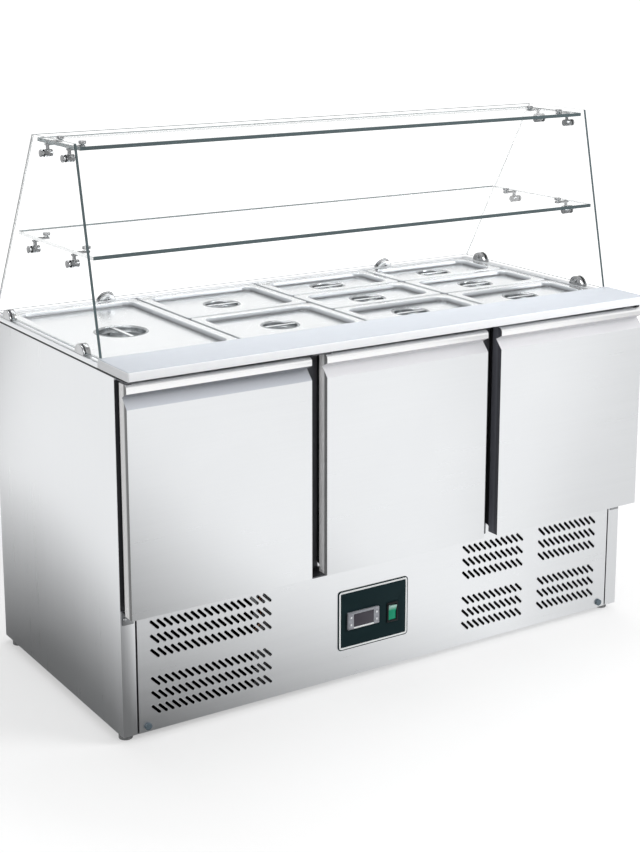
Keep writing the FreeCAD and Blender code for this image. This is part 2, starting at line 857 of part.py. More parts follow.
def pan(x, y, length):
    """A pressed steel pan: rim with a turned-down lip and a tapered tub."""
    half_x, half_y = "pan_width/2", f"{length}/2"
    rim = tray_rim(x, y, "ledge_top", "pan_rim", half_x, half_y, "pan_gauge", "lid_edge_corner")
    bottom = "pan_top - pan_depth"
    outer = tub(x, y, "pan_top", bottom, f"{half_x} - pan_flange", f"{half_y} - pan_flange",
                "pan_taper", "pan_corner")
    inset = "(pan_flange + pan_gauge)"
    inner = tub(x, y, "pan_top", f"{bottom} + pan_gauge", f"{half_x} - {inset}", f"{half_y} - {inset}",
                "pan_taper", "pan_corner - pan_gauge")
    return cut(fuse(rim, outer), inner)


def lid(x, y, length, cup, grip_along_y):
    """A pressed lid: rim, sunk panel, round finger cup and a grip bar across it."""
    half_x, half_y = "(pan_width/2 - lid_inset)", f"({length}/2 - lid_inset)"
    rim = tray_rim(x, y, "pan_top", "lid_lip", half_x, half_y, "lid_gauge", "lid_edge_corner")
    panel = "lid_top - lid_sink"
    outer = tub(x, y, "lid_top", f"{panel} - lid_gauge", f"{half_x} - lid_flange + lid_gauge",
                f"{half_y} - lid_flange + lid_gauge", "lid_taper", "lid_corner")
    inner = tub(x, y, "lid_top", panel, f"{half_x} - lid_flange", f"{half_y} - lid_flange",
                "lid_taper", "lid_corner - lid_gauge")
    floor = f"{panel} - cup_depth"
    cup_outer = rod("z", f"{cup}/2 + lid_gauge", x, y, f"{floor} - lid_gauge", "cup_depth")
    cup_inner = rod("z", f"{cup}/2", x, y, floor, "cup_depth")
    reach = f"{cup}/2 + lid_gauge/2"
    across, along = around(x, reach), around(y, "grip_width/2")
    if grip_along_y:
        across, along = around(x, "grip_width/2"), around(y, reach)
    grip = box(across, along, (f"{panel} - grip_gauge", panel))
    return fuse(cut(fuse(rim, outer, cup_outer), inner, cup_inner), grip)


def pans_and_lids():
    names = {1: ("full",), 2: ("front", "rear"), 3: ("front", "middle", "rear")}
    pans = []
    for bay, (count, length) in enumerate(BAYS):
        cup = "full_cup_diameter" if count == 1 else "cup_diameter"
        for step, name in enumerate(names[count]):
            x, y = bay_x(bay), cell_y(count, step)
            pans.append(pan(x, y, length))
            node(lid(x, y, length, cup, count == 1), f"lid_{bay + 1}_{name}")
    node(group(*pans), "gn_pans")


def cutting_board():
    board_z = ("top_level", "top_level + board_thickness")
    board = box(both("half_width"), ("board_front", "board_back"), board_z)
    front, top = number("board_front"), number("top_level + board_thickness")
    corners = rounded(board, "board_corner", lambda edge: rises(edge) and edge.CenterOfMass.y < front + 1)
    nose = rounded(corners, "board_nose", lambda edge: len(edge.Vertexes) == 2
                   and all(abs(end.Z - top) < 1e-3 for end in edge.Vertexes)
                   and edge.CenterOfMass.y < front + number("board_corner"))
    node(nose, "cutting_board")


def shelf_places():
    """Each glass shelf: its top, and how far in its holders stand."""
    return (("upper_top", "upper_holder_inset"), ("lower_top", "lower_holder_inset"))


def shelf_span(top):
    """Front and back edges of a glass shelf, which follow the panes' leaning edges."""
    rise = f"({top} - pane_bottom)"
    front = f"body_front + pane_foot_front + front_lean*{rise} + shelf_edge_gap"
    back = f"body_front + pane_foot_back - rear_lean*{rise} - shelf_edge_gap"
    return front, back


def holder_points():
    """Every shelf holder: side, its Y, and the top of the shelf it carries."""
    for top, inset in shelf_places():
        front, back = shelf_span(top)
        for y in (f"{front} + {inset}", f"{back} - {inset}"):
            for side in (-1, 1):
                yield side, y, top


def toward(side, near, far):
    """X limits on one end of the counter, from two distances out from the middle."""
    return (near, far) if side > 0 else (f"-({far})", f"-({near})")


def side_panes():
    outline = [
        ("body_front + pane_foot_front", "pane_bottom"),
        ("body_front + pane_foot_back", "pane_bottom"),
        ("body_front + pane_head_back", "pane_top"),
        ("body_front + pane_head_front", "pane_top"),
    ]
    panes = []
    for side in (-1, 1):
        x = toward(side, "pane_in", "pane_out")
        blank = profile("YZ_Plane", outline, *x)
        holes = []
        for hole_side, y, top in holder_points():
            if hole_side == side:
                axis = f"{top} - shelf_glass - holder_drop"
                holes.append(rod("x", "bolt_diameter/2 + bolt_play", x[0], y, axis, "glass_gauge"))
        panes.append(cut(blank, *holes))
    node(group(*panes), "side_panes")
    return panes


def rear_pane():
    outline = [
        ("body_front + pane_foot_back", "pane_bottom"),
        ("body_front + pane_foot_back + glass_across", "pane_bottom"),
        ("body_front + pane_head_back + glass_across", "pane_top"),
        ("body_front + pane_head_back", "pane_top"),
    ]
    return node(profile("YZ_Plane", outline, "-pane_out", "pane_out"), "rear_pane")


def glass_shelves():
    shelves = []
    for top, _ in shelf_places():
        blank = box(both("shelf_half"), shelf_span(top), (f"{top} - shelf_glass", top))
        holes = [rod("z", "bolt_diameter/2 + bolt_play", f"{side}*(pane_in - arm_length)", y,
                     f"{top} - shelf_glass", "shelf_glass")
                 for side, y, level in holder_points() if level == top]
        shelves.append(cut(blank, *holes))
    node(group(*shelves), "glass_shelves")


def glass_clamps(panes, rear):
    """Half-round clamps: a solid foot with a slot that the pane stands in."""
    pieces = []
    thickness = "clamp_cheek_in + glass_gauge + clamp_cheek_out"
    for side, pane in zip((-1, 1), panes):
        x = toward(side, "pane_in - clamp_cheek_in", "pane_out + clamp_cheek_out")
        for y in ("clamp_front_place", "clamp_back_place"):
            half_round = doc.addObject("Part::Cylinder", "Clamp")
            half_round.Angle = 180
            half_round.Placement = Placement(Vector(), Rotation(Vector(1, 1, 1), 120))
            bind(half_round, Radius="clamp_radius", Height=thickness)
            pieces.append(cut(place(half_round, x[0], f"body_front + {y}", "worktop"), pane))
    lean = math.atan(number("rear_lean"))
    depth = "rear_clamp_in + glass_gauge + rear_clamp_out"
    foot = "body_front + pane_foot_back + rear_lean*pane_lift"
    for side in (-1, 1):
        x = f"{side}*rear_clamp_place"
        drum = doc.addObject("Part::Cylinder", "Clamp")
        drum.Placement = Placement(Vector(), Rotation(Vector(1, 0, 0), math.degrees(lean) - 90))
        bind(drum, Radius="clamp_radius", Height=depth)
        y = f"{foot} - rear_clamp_in*{math.cos(lean)}"
        place(drum, x, y, f"worktop - rear_clamp_in*{math.sin(lean)}")
        below = ("worktop - 3*clamp_radius", "worktop")
        under = box(around(x, "2*clamp_radius"), around(foot, "3*clamp_radius"), below)
        pieces.append(cut(drum, under, rear))
    node(group(*pieces), "glass_clamps")


def shelf_holders():
    """Brackets inside the side panes: barrel, stem and an arm under the shelf with its stud."""
    pieces = []
    for side, y, top in holder_points():
        under = f"{top} - shelf_glass"
        axis = f"{under} - holder_drop"
        x = toward(side, "pane_in - holder_length", "pane_in")
        barrel = rod("x", "holder_diameter/2", x[0], y, axis, "holder_length")
        stem_x = f"{side}*(pane_in - holder_length/2)"
        stem = rod("z", "stem_diameter/2", stem_x, y, axis, "holder_drop - arm_gauge/2")
        near, far = "pane_in - arm_length - arm_width/2", "pane_in - holder_length/2 + arm_width/2"
        arm = box(toward(side, near, far), around(y, "arm_width/2"), (f"{under} - arm_gauge", under))
        stud = rod("z", "bolt_diameter/2", f"{side}*(pane_in - arm_length)", y, f"{under} - arm_gauge",
                   "arm_gauge + shelf_glass")
        pieces.append(fuse(barrel, stem, arm, stud))
    node(group(*pieces), "shelf_holders")


def glass_fixings():
    """Discs with bolts through the side panes, caps above the shelves and the clamps' screws."""
    pieces = []
    for side, y, top in holder_points():
        axis = f"{top} - shelf_glass - holder_drop"
        shank = toward(side, "pane_in", "pane_out")
        disc = toward(side, "pane_out", "pane_out + disc_gauge")
        pieces.append(fuse(rod("x", "bolt_diameter/2", shank[0], y, axis, "glass_gauge"),
                           rod("x", "holder_diameter/2", disc[0], y, axis, "disc_gauge")))
        button_x = f"{side}*(pane_in - arm_length)"
        pieces.append(rod("z", "button_diameter/2", button_x, y, top, "button_height"))
    middle = "worktop + pane_lift + clamp_screw/2"
    for side in (-1, 1):
        x = toward(side, "pane_in - clamp_cheek_in - clamp_screw_head", "pane_in - clamp_cheek_in")
        for y in ("clamp_front_place", "clamp_back_place"):
            pieces.append(rod("x", "clamp_screw/2", x[0], f"body_front + {y}", middle, "clamp_screw_head"))
    node(group(*pieces), "glass_fixings")


def control_plate():
    x = ("-plate_left", "plate_width - plate_left")
    z = ("plate_bottom", "plate_bottom + plate_height")
    blank = rounded(box(x, ("plate_front", "body_front"), z), "plate_corner", runs_along(Vector(0, 1, 0)))
    case_x, case_z = case_limits("cutout_play")
    case_hole = box(case_x, ("plate_front", "body_front"), case_z)
    half_x, half_z = switch_body("cutout_play")
    switch_hole = box(around("switch_x", half_x), ("plate_front", "body_front"), around("switch_z", half_z))
    node(cut(blank, case_hole, switch_hole), "control_plate")


def case_limits(play):
    """X and Z limits of the controller's case behind its bezel."""
    x = (f"bezel_left + case_margin - {play}", f"bezel_left + controller_width - case_margin + {play}")
    z = (f"bezel_bottom + case_margin - {play}", f"bezel_bottom + controller_height - case_margin + {play}")
    return x, z


def switch_body(play):
    """Half sizes of the switch's body behind its bezel."""
    return f"switch_width/2 - switch_margin + {play}", f"switch_height/2 - switch_margin + {play}"


def key_places():
    middle = "bezel_bottom + controller_height/2"
    left, right = "bezel_left + key_inset", "bezel_left + controller_width - key_inset"
    for column, x in (("left", left), ("right", right)):
        for line, step in (("upper", 1), ("lower", -1)):
            yield f"key_{column}_{line}", x, f"{middle} + {step}*key_spacing/2"


def controller():
    """The thermostat: bezel and case in one moulding, display lens and four keys."""
    bezel = box(("bezel_left", "bezel_left + controller_width"), ("bezel_front", "plate_front"),
                ("bezel_bottom", "bezel_bottom + controller_height"))
    case_x, case_z = case_limits("0")
    case = box(case_x, ("plate_front", "plate_front + case_depth"), case_z)
    middle_x = "bezel_left + controller_width/2"
    middle_z = "bezel_bottom + controller_height/2"
    window = (around(middle_x, "lens_width/2"), ("bezel_front", "bezel_front + lens_gauge"),
              around(middle_z, "lens_height/2"))
    wells = [box(around(x, "key_size/2 + key_play"), ("bezel_front", "bezel_front + key_well"),
                 around(z, "key_size/2 + key_play")) for _, x, z in key_places()]
    node(cut(fuse(bezel, case), box(*window), *wells), "controller_case")
    node(box(*window), "controller_lens")
    for name, x, z in key_places():
        y = ("bezel_front - key_proud", "bezel_front - key_proud + key_length")
        node(box(around(x, "key_size/2"), y, around(z, "key_size/2")), name)


def switch():
    """The rocker switch: a frame with pivot holes and a rocker latched with its lower half pressed in."""
    bezel = box(around("switch_x", "switch_width/2"), ("plate_front - switch_bezel", "plate_front"),
                around("switch_z", "switch_height/2"))
    half_x, half_z = switch_body("0")
    depth = ("plate_front", "plate_front + switch_depth")
    body = box(around("switch_x", half_x), depth, around("switch_z", half_z))
    well = box(around("switch_x", "rocker_width/2 + rocker_play"),
               ("plate_front - switch_bezel", "plate_front + rocker_well"),
               around("switch_z", "rocker_height/2 + rocker_end_play"))
    reach = "rocker_width/2 + rocker_pin_reach"
    bore = rod("x", "rocker_pin/2 + pin_play", f"switch_x - ({reach})", "rocker_y", "switch_z",
               f"2*({reach})")
    node(cut(fuse(bezel, body), well, bore), "switch_frame")
    half = "rocker_height/2"
    outline = [
        ("-rocker_front", half),
        ("rocker_dip - rocker_front", "0"),
        ("-rocker_front", f"-{half}"),
        ("0", f"rocker_dip - {half}"),
        ("rocker_back", f"-{half}/2"),
        ("rocker_back", f"{half}/2"),
        ("0", f"{half} - rocker_dip"),
    ]
    key = profile("YZ_Plane", outline, "-rocker_width/2", "rocker_width/2")
    pin = rod("x", "rocker_pin/2", f"-({reach})", "0", "0", f"2*({reach})")
    rocker = fuse(key, pin)
    rocker.Placement = Placement(Vector(), Rotation(Vector(1, 0, 0), number("rocker_swing")))
    place(rocker, "switch_x", "rocker_y", "switch_z")
    node(rocker, "switch_rocker")


def racks():
    """Shelves of wire in the three compartments, on runners from the uprights to the back wall."""
    gauge = "rack_gauge"
    lines = ("-inner_half", "-gap_centre", "gap_centre", "inner_half")
    half = "runner_width/2"
    spans = [("-inner_half", f"{half} - inner_half"), around("-gap_centre", half),
             around("gap_centre", half), (f"inner_half - {half}", "inner_half")]
    y = ("body_front + wall", "inner_back")
    runners = [box(span, y, ("rack_z - runner_height", "rack_z")) for span in spans]
    node(group(*runners), "rack_runners")
    pieces = []
    for left, right in zip(lines, lines[1:]):
        low, high = number(f"{left} + rack_play"), number(f"{right} - rack_play")
        pieces.append(feature(wire_rack(low, high, number(gauge))))
    node(group(*pieces), "wire_racks")


def wire_rack(low, high, gauge):
    """A frame with wires from front to back, as one holed face made thick."""
    edge, wire = number("rack_edge"), number("rack_wire")
    front, depth, z = number("rack_front"), number("rack_depth"), number("rack_z")

    def ring(x0, x1, y0, y1):
        corners = [Vector(x0, y0, z), Vector(x1, y0, z), Vector(x1, y1, z), Vector(x0, y1, z)]
        return Part.makePolygon(corners + corners[:1])
    count = int((high - low - 2 * edge + wire) // number("rack_cell"))
    cell = (high - low - 2 * edge + wire) / count - wire
    half_depth = (depth - 3 * edge) / 2
    holes = []
    for i in range(count):
        x = low + edge + i * (cell + wire)
        for y in (front + edge, front + 2 * edge + half_depth):
            holes.append(ring(x, x + cell, y, y + half_depth))
    outline = ring(low, high, front, front + depth)
    face = Part.makeFace(Part.Compound([outline] + holes), "Part::FaceMakerBullseye")
    return face.extrude(Vector(0, 0, gauge))


def finned_coil(x, y, z, fins, carrier):
    """A block of fins on tubes, with a carrier at each end."""
    pieces = []
    for i in range(fins):
        start = f"{x[0]} + ({x[1]} - ({x[0]}) - coil_fin)*{i}/{fins - 1}"
        pieces.append(box((start, f"{start} + coil_fin"), y, z))
    middle = f"(({y[0]}) + ({y[1]}))/2"
    for i in range(COIL_TUBES):
        level = f"{z[0]} + ({z[1]} - ({z[0]}))*{2 * i + 1}/{2 * COIL_TUBES}"
        pieces.append(rod("x", "coil_tube/2", x[0], middle, level, f"{x[1]} - ({x[0]})"))
    for start in (x[0], f"{x[1]} - coil_fin"):
        pieces.append(box((start, f"{start} + coil_fin"), *carrier))
    return fuse(*pieces)


def coils():
    x = ("-condenser_left", "condenser_end")
    y = around("condenser_y", "condenser_depth/2")
    z = ("base_top", "base_top + condenser_height")
    node(finned_coil(x, y, z, CONDENSER_FINS, (y, z)), "condenser_coil")
    y = around("evaporator_y", "evaporator_depth/2")
    z = ("evaporator_z", "evaporator_z + evaporator_height")
    carrier = ((y[0], "inner_back"), z)
    node(finned_coil(both("evaporator_length/2"), y, z, EVAPORATOR_FINS, carrier), "evaporator_coil")


def condenser_fan():
    """The fan: plate with a round opening, motor on a strut behind it, and a bladed hub on its shaft."""
    x = ("-condenser_left", "condenser_end")
    z = ("base_top", "base_top + condenser_height")
    plate = box(x, ("fan_y", "fan_y + fan_plate"), z)
    opening = rod("y", "fan_hole/2", "fan_x", "fan_y", "fan_z", "fan_plate")
    half = "strut_width/2"
    ties = [box(around("fan_x", half), ("fan_y + fan_plate", "strut_back"), limits)
            for limits in ((z[0], f"{z[0]} + strut_gauge"), (f"{z[1]} - strut_gauge", z[1]))]
    upright = box(around("fan_x", half), ("strut_back - strut_gauge", "strut_back"), z)
    motor = rod("y", "motor_diameter/2", "fan_x", "motor_front", "fan_z", "motor_length")
    shaft = rod("y", "fan_shaft/2", "fan_x", "hub_front", "fan_z", "motor_front - (hub_front)")
    node(fuse(cut(plate, opening), *ties, upright, motor, shaft), "fan_frame")
    hub = rod("y", "fan_hub/2", "fan_x", "hub_front", "fan_z", "fan_hub_length")
    bore = rod("y", "fan_shaft/2 + fan_play", "fan_x", "hub_front", "fan_z", "fan_hub_length")
    inner = "fan_shaft/2 + (fan_hub - fan_shaft)/4"
    centre = point("fan_x", "hub_front + fan_hub_length/2", "fan_z")
    blades = []
    for i in range(FAN_BLADES):
        blade = doc.addObject("Part::Box", "Blade")
        bind(blade, Length=f"fan_diameter/2 - ({inner})", Width="fan_blade", Height="fan_chord")
        turn = Rotation(Vector(0, 1, 0), 360 * i / FAN_BLADES)
        twist = Rotation(Vector(1, 0, 0), number("90 - fan_pitch_angle"))
        corner = Vector(0, -number("fan_blade") / 2, -number("fan_chord") / 2)
        offset = turn.multVec(Vector(number(inner), 0, 0) + twist.multVec(corner))
        blade.Placement = Placement(centre + offset, turn * twist)
        blades.append(blade)
    node(cut(fuse(hub, *blades), bore), "fan_blade")


def compressor():
    """A hermetic compressor: domed shell on a foot plate, with a stub for each pipe."""
    x, y = "compressor_place", "compressor_y"
    shell = rod("z", "compressor_diameter/2", x, y, "compressor_bottom", "compressor_height")
    shell = rounded(shell, "compressor_dome", lambda edge: len(edge.Vertexes) == 1)
    foot = box(around(x, "compressor_foot_length/2"), around(y, "compressor_foot_width/2"),
               ("base_top", "compressor_bottom + compressor_dome/2"))
    hollow = box(around(x, "compressor_foot_length/2 - base_gauge"), around(y, "compressor_foot_width/2"),
                 ("base_top", "compressor_bottom - base_gauge"))
    trim = box(around(x, "compressor_foot_length/2"), around(y, "compressor_foot_width/2"),
               ("compressor_bottom", "compressor_bottom + compressor_dome/2"))
    seat = rod("z", "compressor_diameter/4", x, y, "compressor_bottom - base_gauge", "compressor_dome/2")
    top_stub = rod("z", "stub_diameter/2", x, y, "compressor_top - stub_length", "2*stub_length")
    side_x = f"{x} - compressor_diameter/2 - stub_length"
    side_stub = rod("x", "stub_diameter/2", side_x, y, "stub_z", "2*stub_length")
    node(fuse(cut(foot, hollow, trim), seat, shell, top_stub, side_stub), "compressor")


def refrigerant_pipes():
    """The hot pipe from the compressor to the condenser and the cold one back from the evaporator."""
    radius, bend = number("pipe_diameter/2"), number("pipe_bend")
    x, y = "compressor_place", "compressor_y"
    corner = "condenser_end + pipe_offset"
    inlet = f"base_top + condenser_height*{2 * COIL_TUBES - 3}/{2 * COIL_TUBES}"
    roof = "pipe_roof"
    hot = [point(x, y, "compressor_top + stub_length"), point(x, y, f"{roof} + pipe_bend"),
           point(corner, y, f"{roof} + pipe_bend"), point(corner, "condenser_y", f"{roof} + pipe_bend"),
           point(corner, "condenser_y", inlet), point("condenser_end", "condenser_y", inlet)]
    outlet = f"evaporator_z + evaporator_height*{COIL_TUBES - 1}/{2 * COIL_TUBES}"
    cold = [point("evaporator_length/2", "evaporator_y", outlet),
            point("pipe_drop_x", "evaporator_y", outlet),
            point("pipe_drop_x", "evaporator_y", "stub_z"), point("pipe_drop_x", y, "stub_z"),
            point(f"{x} - compressor_diameter/2 - stub_length", y, "stub_z")]
    node(group(*[feature(bent_tube(points, radius, bend)) for points in (hot, cold)]), "refrigerant_pipes")


def build():
    side_panel(-1, "left_side_panel")
    side_panel(1, "right_side_panel")
    back_panel()
    cord_grommet()
    base_pan()
    feet()
    insulation()
    inner_liner()
    front_frame()
    kick_panel()
    for index, name in enumerate(DOORS):
        door(index, name)
    hinge_brackets()
    panel_screws()
    worktop_frame()
    pan_support_bars()
    pans_and_lids()
    cutting_board()
    panes = side_panes()
    rear = rear_pane()
    glass_shelves()
    glass_clamps(panes, rear)
    shelf_holders()
    glass_fixings()
    control_plate()
    controller()
    switch()
    racks()
    coils()
    condenser_fan()
    compressor()
    refrigerant_pipes()


def check_and_write():
    doc.recompute()
    failed = [f"{item.Name} {item.getStatusString()}" for item in doc.Objects
              if {"Invalid", "Error"} & set(item.State)]
    if failed:
        raise RuntimeError(f"failed features: {failed}")
    for item in nodes:
        if item.Shape.isNull() or not item.Shape.isValid() or not item.Shape.Solids:
            raise RuntimeError(f"no sound solid in {item.Label}")
    os.makedirs("parts", exist_ok=True)
    for item in nodes:
        item.Shape.exportStep(f"parts/{item.Label}.step")
        print(f"{item.Label}: {len(item.Shape.Solids)} solids, {item.Shape.Volume / 1000:.1f} cm3")


build()
check_and_write()
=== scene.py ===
"""Finishes and studio for a three-door saladette with a glass display top.

Laid out as an add-on and run as a script. Metres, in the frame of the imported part.
"""

import json
import math

import bmesh
import bpy
from bpy.props import FloatProperty, FloatVectorProperty, IntProperty, PointerProperty
from mathutils import Euler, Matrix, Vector

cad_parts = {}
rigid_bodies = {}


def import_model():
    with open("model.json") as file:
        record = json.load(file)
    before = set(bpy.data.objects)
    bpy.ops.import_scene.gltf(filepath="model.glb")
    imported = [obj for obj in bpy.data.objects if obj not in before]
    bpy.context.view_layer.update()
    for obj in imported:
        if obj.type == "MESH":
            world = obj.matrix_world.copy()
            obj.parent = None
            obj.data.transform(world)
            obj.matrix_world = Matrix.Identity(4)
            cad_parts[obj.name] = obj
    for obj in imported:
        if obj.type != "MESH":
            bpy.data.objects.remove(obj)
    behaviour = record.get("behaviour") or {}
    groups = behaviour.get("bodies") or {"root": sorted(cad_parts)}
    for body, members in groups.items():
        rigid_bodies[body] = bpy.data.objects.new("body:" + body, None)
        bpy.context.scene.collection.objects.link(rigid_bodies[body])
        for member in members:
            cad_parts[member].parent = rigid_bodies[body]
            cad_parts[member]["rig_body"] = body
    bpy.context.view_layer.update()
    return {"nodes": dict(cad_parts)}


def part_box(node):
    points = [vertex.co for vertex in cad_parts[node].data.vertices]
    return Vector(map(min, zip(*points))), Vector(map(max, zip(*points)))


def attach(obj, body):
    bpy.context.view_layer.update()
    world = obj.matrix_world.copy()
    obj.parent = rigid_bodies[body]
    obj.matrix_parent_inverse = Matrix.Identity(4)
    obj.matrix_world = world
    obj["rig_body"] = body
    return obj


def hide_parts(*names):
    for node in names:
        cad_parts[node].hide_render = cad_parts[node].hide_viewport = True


bl_info = {
    "name": "Saladette",
    "version": (1, 0, 0),
    "blender": (4, 5, 0),
    "location": "View3D > Sidebar > Saladette",
    "description": "Dresses the packed saladette and sets up its studio",
    "category": "Object",
}

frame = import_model()
NODES = frame["nodes"]
DOORS = ("left", "centre", "right")
LIDS = sorted(name for name in NODES if name.startswith("lid_"))
KEYS = sorted(name for name in NODES if name.startswith("key_"))
MM = 0.001
UPRIGHT = Euler((math.pi / 2, 0, 0))
VECTOR_MATH = "ShaderNodeVectorMath"

# Stretch of the brush strokes that run along an axis
ALONG = {"x": (0.02, 1.0, 1.0), "y": (1.0, 0.02, 1.0), "z": (1.0, 1.0, 0.02)}

# Groups of vent slots: name, columns and the first column's place along X in mm
SLOT_GROUPS = (("left", 18, -605), ("middle", 11, 208), ("right", 11, 436))

# Rings of pressed forms in mm: inset, height and corner radius, each added to where the form starts
LID_EDGE = ((0, -3, 0), (0, -1.2, 0), (0.36, -0.36, -0.36), (1.2, 0, -1.2))
PAN_EDGE = ((0, -5, 0), (0, -1, 0), (0.3, -0.3, -0.3), (1, 0, -1))
PAN_RIM = ((-3, 0, 3), (-0.9, -0.9, 1), (0, -3, 0))
PAN_FOOT = ((-1, 10, 0), (0.8, 5, 0), (4, 1.3, -3), (9, 0, -6), (30, 0, -18))
DOOR_PANEL = ((0, 0, 14), (1.5, 1.5, 14), (5, 6, 13), (7, 7.4, 12), (10, 8, 10), (44, 8, 10),
              (47, 7.2, 10), (49, 5.4, 10), (52, 4.8, 10))
PLATE_LINE = ((2.2, 0, 6.5), (2.4, 0.25, 6.3), (6.2, 0.25, 3.0), (6.4, 0, 2.8))

# Rings of a lid's finger cup in mm: distance from its edge, and height over the panel or over the cup's floor
CUP_LIP = ((11, 0), (7, 0), (5.4, 0.54), (4, 0.9), (2.4, 0.45), (1, -0.18), (0.2, -1.08), (0, -4))
CUP_FOOT = ((-0.4, 4), (-1.6, 1.2), (-4, 0))

# The studio in metres: half the floor's side, and where the floor's mirrored glow changes, by distance
# from the middle or by direction and the two places along it
FLOOR_REACH = 60
AROUND = (0.8, 1.8)
AHEAD = ((0.9, -0.43, 0), (-0.4, 0.5))
RIGHT_END = ((1, 0, 0), (0.0, 0.5))
RIGHT_BACK = ((1, 1, 0), (-0.02, 0.3))


def number(label, description, default, **more):
    return FloatProperty(name=label, description=description, default=default, **more)


def length(label, description, millimetres):
    return number(label, description, millimetres * MM, subtype="DISTANCE", unit="LENGTH", precision=5)


def share(label, description, default):
    return number(label, description, default, subtype="FACTOR", min=0, max=1)


def angle(label, description, degrees):
    return number(label, description, math.radians(degrees), subtype="ANGLE")


def whole(label, description, default):
    return IntProperty(name=label, description=description, min=1, default=default)


def colour(label, what, default):
    return FloatVectorProperty(name=label, description=f"Colour of {what}", subtype="COLOR", size=3,
                               min=0, max=1, default=default)


class SteelFinish(bpy.types.PropertyGroup):
    """Sheet and pressed steel."""
    sheet: colour("Sheet", "the brushed outer sheets", (0.84, 0.855, 0.87))
    # The two handle-fold colours are painted shade: the same steel darker towards the bar, and darker still on
    # the left door.
    shaded: colour("Shaded", "the left door's handle fold", (0.55, 0.57, 0.61))
    open_fold: colour("Open fold", "the other doors' handle folds", (0.80, 0.80, 0.82))
    # The doors' side colours are a painted reflection of the gaps: a dark strip at the front and light behind
    # it, and dark all over on the right door as painted shade.
    side: colour("Side", "the doors' narrow sides", (0.93, 0.94, 0.95))
    dark_side: colour("Dark side", "the right door's narrow sides", (0.085, 0.088, 0.105))
    # Nose: the rolled bars' colour is a painted highlight, brighter than the sheet they are folded from.
    nose: colour("Nose", "the handles' rolled bars", (0.95, 0.955, 0.96))
    # Seam: a dark colour painted as shade, for the fold line at a door's edge and for the hinge tabs.
    seam: colour("Seam", "the doors' fold lines", (0.14, 0.145, 0.155))
    pressed: colour("Pressed", "the bright lids", (0.87, 0.885, 0.895))
    # Drawn: dark as painted shade, for the cups and the gaps round the lids.
    drawn: colour("Drawn", "the deep-drawn pans and cups", (0.36, 0.375, 0.385))
    # Wall: the lids' sloped walls are painted from light at the top to dark at the foot, as painted highlight
    # and shade.
    wall: colour("Wall", "the middle of the lids' sloped walls", (0.27, 0.283, 0.297))
    fitting: colour("Fittings", "bright screws", (0.42, 0.43, 0.44))
    clamp: colour("Clamp", "the clamps' flat faces", (0.72, 0.73, 0.74))
    holder: colour("Holder", "the shelf holders", (0.17, 0.175, 0.18))
    fixing: colour("Fixing", "the glass bolts and caps", (0.28, 0.285, 0.29))
    # Bracket: darker than the sheet, as painted shade under the doors.
    bracket: colour("Bracket", "the hinge plates", (0.36, 0.37, 0.38))
    zinc: colour("Zinc", "the dull zinc-coated sheets", (0.55, 0.57, 0.59))
    fins: colour("Fins", "bare fins and blades", (0.70, 0.71, 0.72))
    coated: colour("Coated fins", "the coated condenser", (0.03, 0.03, 0.033))
    copper: colour("Copper", "the pipes", (0.72, 0.40, 0.26))
    sheet_roughness: share("Sheet roughness", "How soft the outer sheets mirror", 0.30)
    pressed_roughness: share("Pressed roughness", "How soft the lids and pans mirror", 0.16)
    grain: number("Grain", "Brush strokes across one metre", 260, min=1)
    fold: length("Fold", "Radius of a folded sheet's outer edge", 1.2)


class PlasticFinish(bpy.types.PropertyGroup):
    """Moulded, extruded and rubber pieces."""
    board: colour("Board", "the cutting board", (0.53, 0.56, 0.605))
    # Board edge: the same plastic as the top, painted lighter as light on the edges.
    board_edge: colour("Board edge", "the cutting board's sawn edges", (0.95, 0.965, 0.99))
    # Profile: dark plastic whose darkness is partly painted shade for the gaps between the doors.
    profile: colour("Profile", "the uprights behind the door gaps", (0.15, 0.155, 0.17))
    # Strip: dark for the seals, and partly painted shade for the gap behind the outer doors.
    strip: colour("Strip", "the strips on the posts", (0.045, 0.046, 0.052))
    plate: colour("Plate", "the control plate", (0.011, 0.024, 0.027))
    line: colour("Line", "the line round the control plate and the keys' marks", (0.82, 0.84, 0.84))
    case: colour("Case", "the controller's bezel", (0.32, 0.33, 0.36))
    key: colour("Key", "the controller's keys", (0.36, 0.37, 0.40))
    display: colour("Display", "the dark display", (0.022, 0.018, 0.030))
    switch: colour("Switch", "the switch's frame", (0.012, 0.012, 0.014))
    rocker: colour("Rocker", "the lit rocker", (0.004, 0.29, 0.155))
    # Rocker tip: the pale upper end is a painted highlight.
    rocker_highlight: colour("Rocker tip", "the rocker's upper end", (0.52, 0.74, 0.68))
    rubber: colour("Rubber", "gaskets and grommet", (0.014, 0.014, 0.016))
    foot: colour("Foot", "the feet", (0.26, 0.265, 0.27))
    cap: colour("Cap", "the screw caps", (0.10, 0.135, 0.16))
    socket: colour("Socket", "the hollows in the screws", (0.02, 0.02, 0.022))
    # Foam: painted dark as shade, so that the gap under the worktop shows as shade.
    foam: colour("Foam", "the faced insulation", (0.05, 0.052, 0.055))
    lining: colour("Lining", "the doors' inner panels", (0.72, 0.74, 0.75))
    wire: colour("Wire", "the racks' coating", (0.70, 0.72, 0.73))
    shell: colour("Shell", "the compressor's enamel", (0.018, 0.018, 0.020))


class GlassFinish(bpy.types.PropertyGroup):
    """Clear panes and their polished edges."""
    clear: colour("Clear", "the panes", (0.996, 0.999, 0.999))
    # Pale and bright edge: the edges that face the light are painted lighter, and their flats are a painted
    # highlight.
    edge: colour("Edge", "the panes' edges", (0.050, 0.080, 0.088))
    pale: colour("Pale edge", "the ground lines of the light edges", (0.12, 0.14, 0.145))
    bright: colour("Bright edge", "the flats of the edges that catch the light", (0.80, 0.83, 0.84))
    bending: number("Bending", "How strongly the panes bend and mirror", 1.12, min=1)
    shelf_bending: number("Shelf bending", "How strongly the shelves bend and mirror", 1.05, min=1)
    chamfer: length("Chamfer", "Width of the ground edge", 1.2)


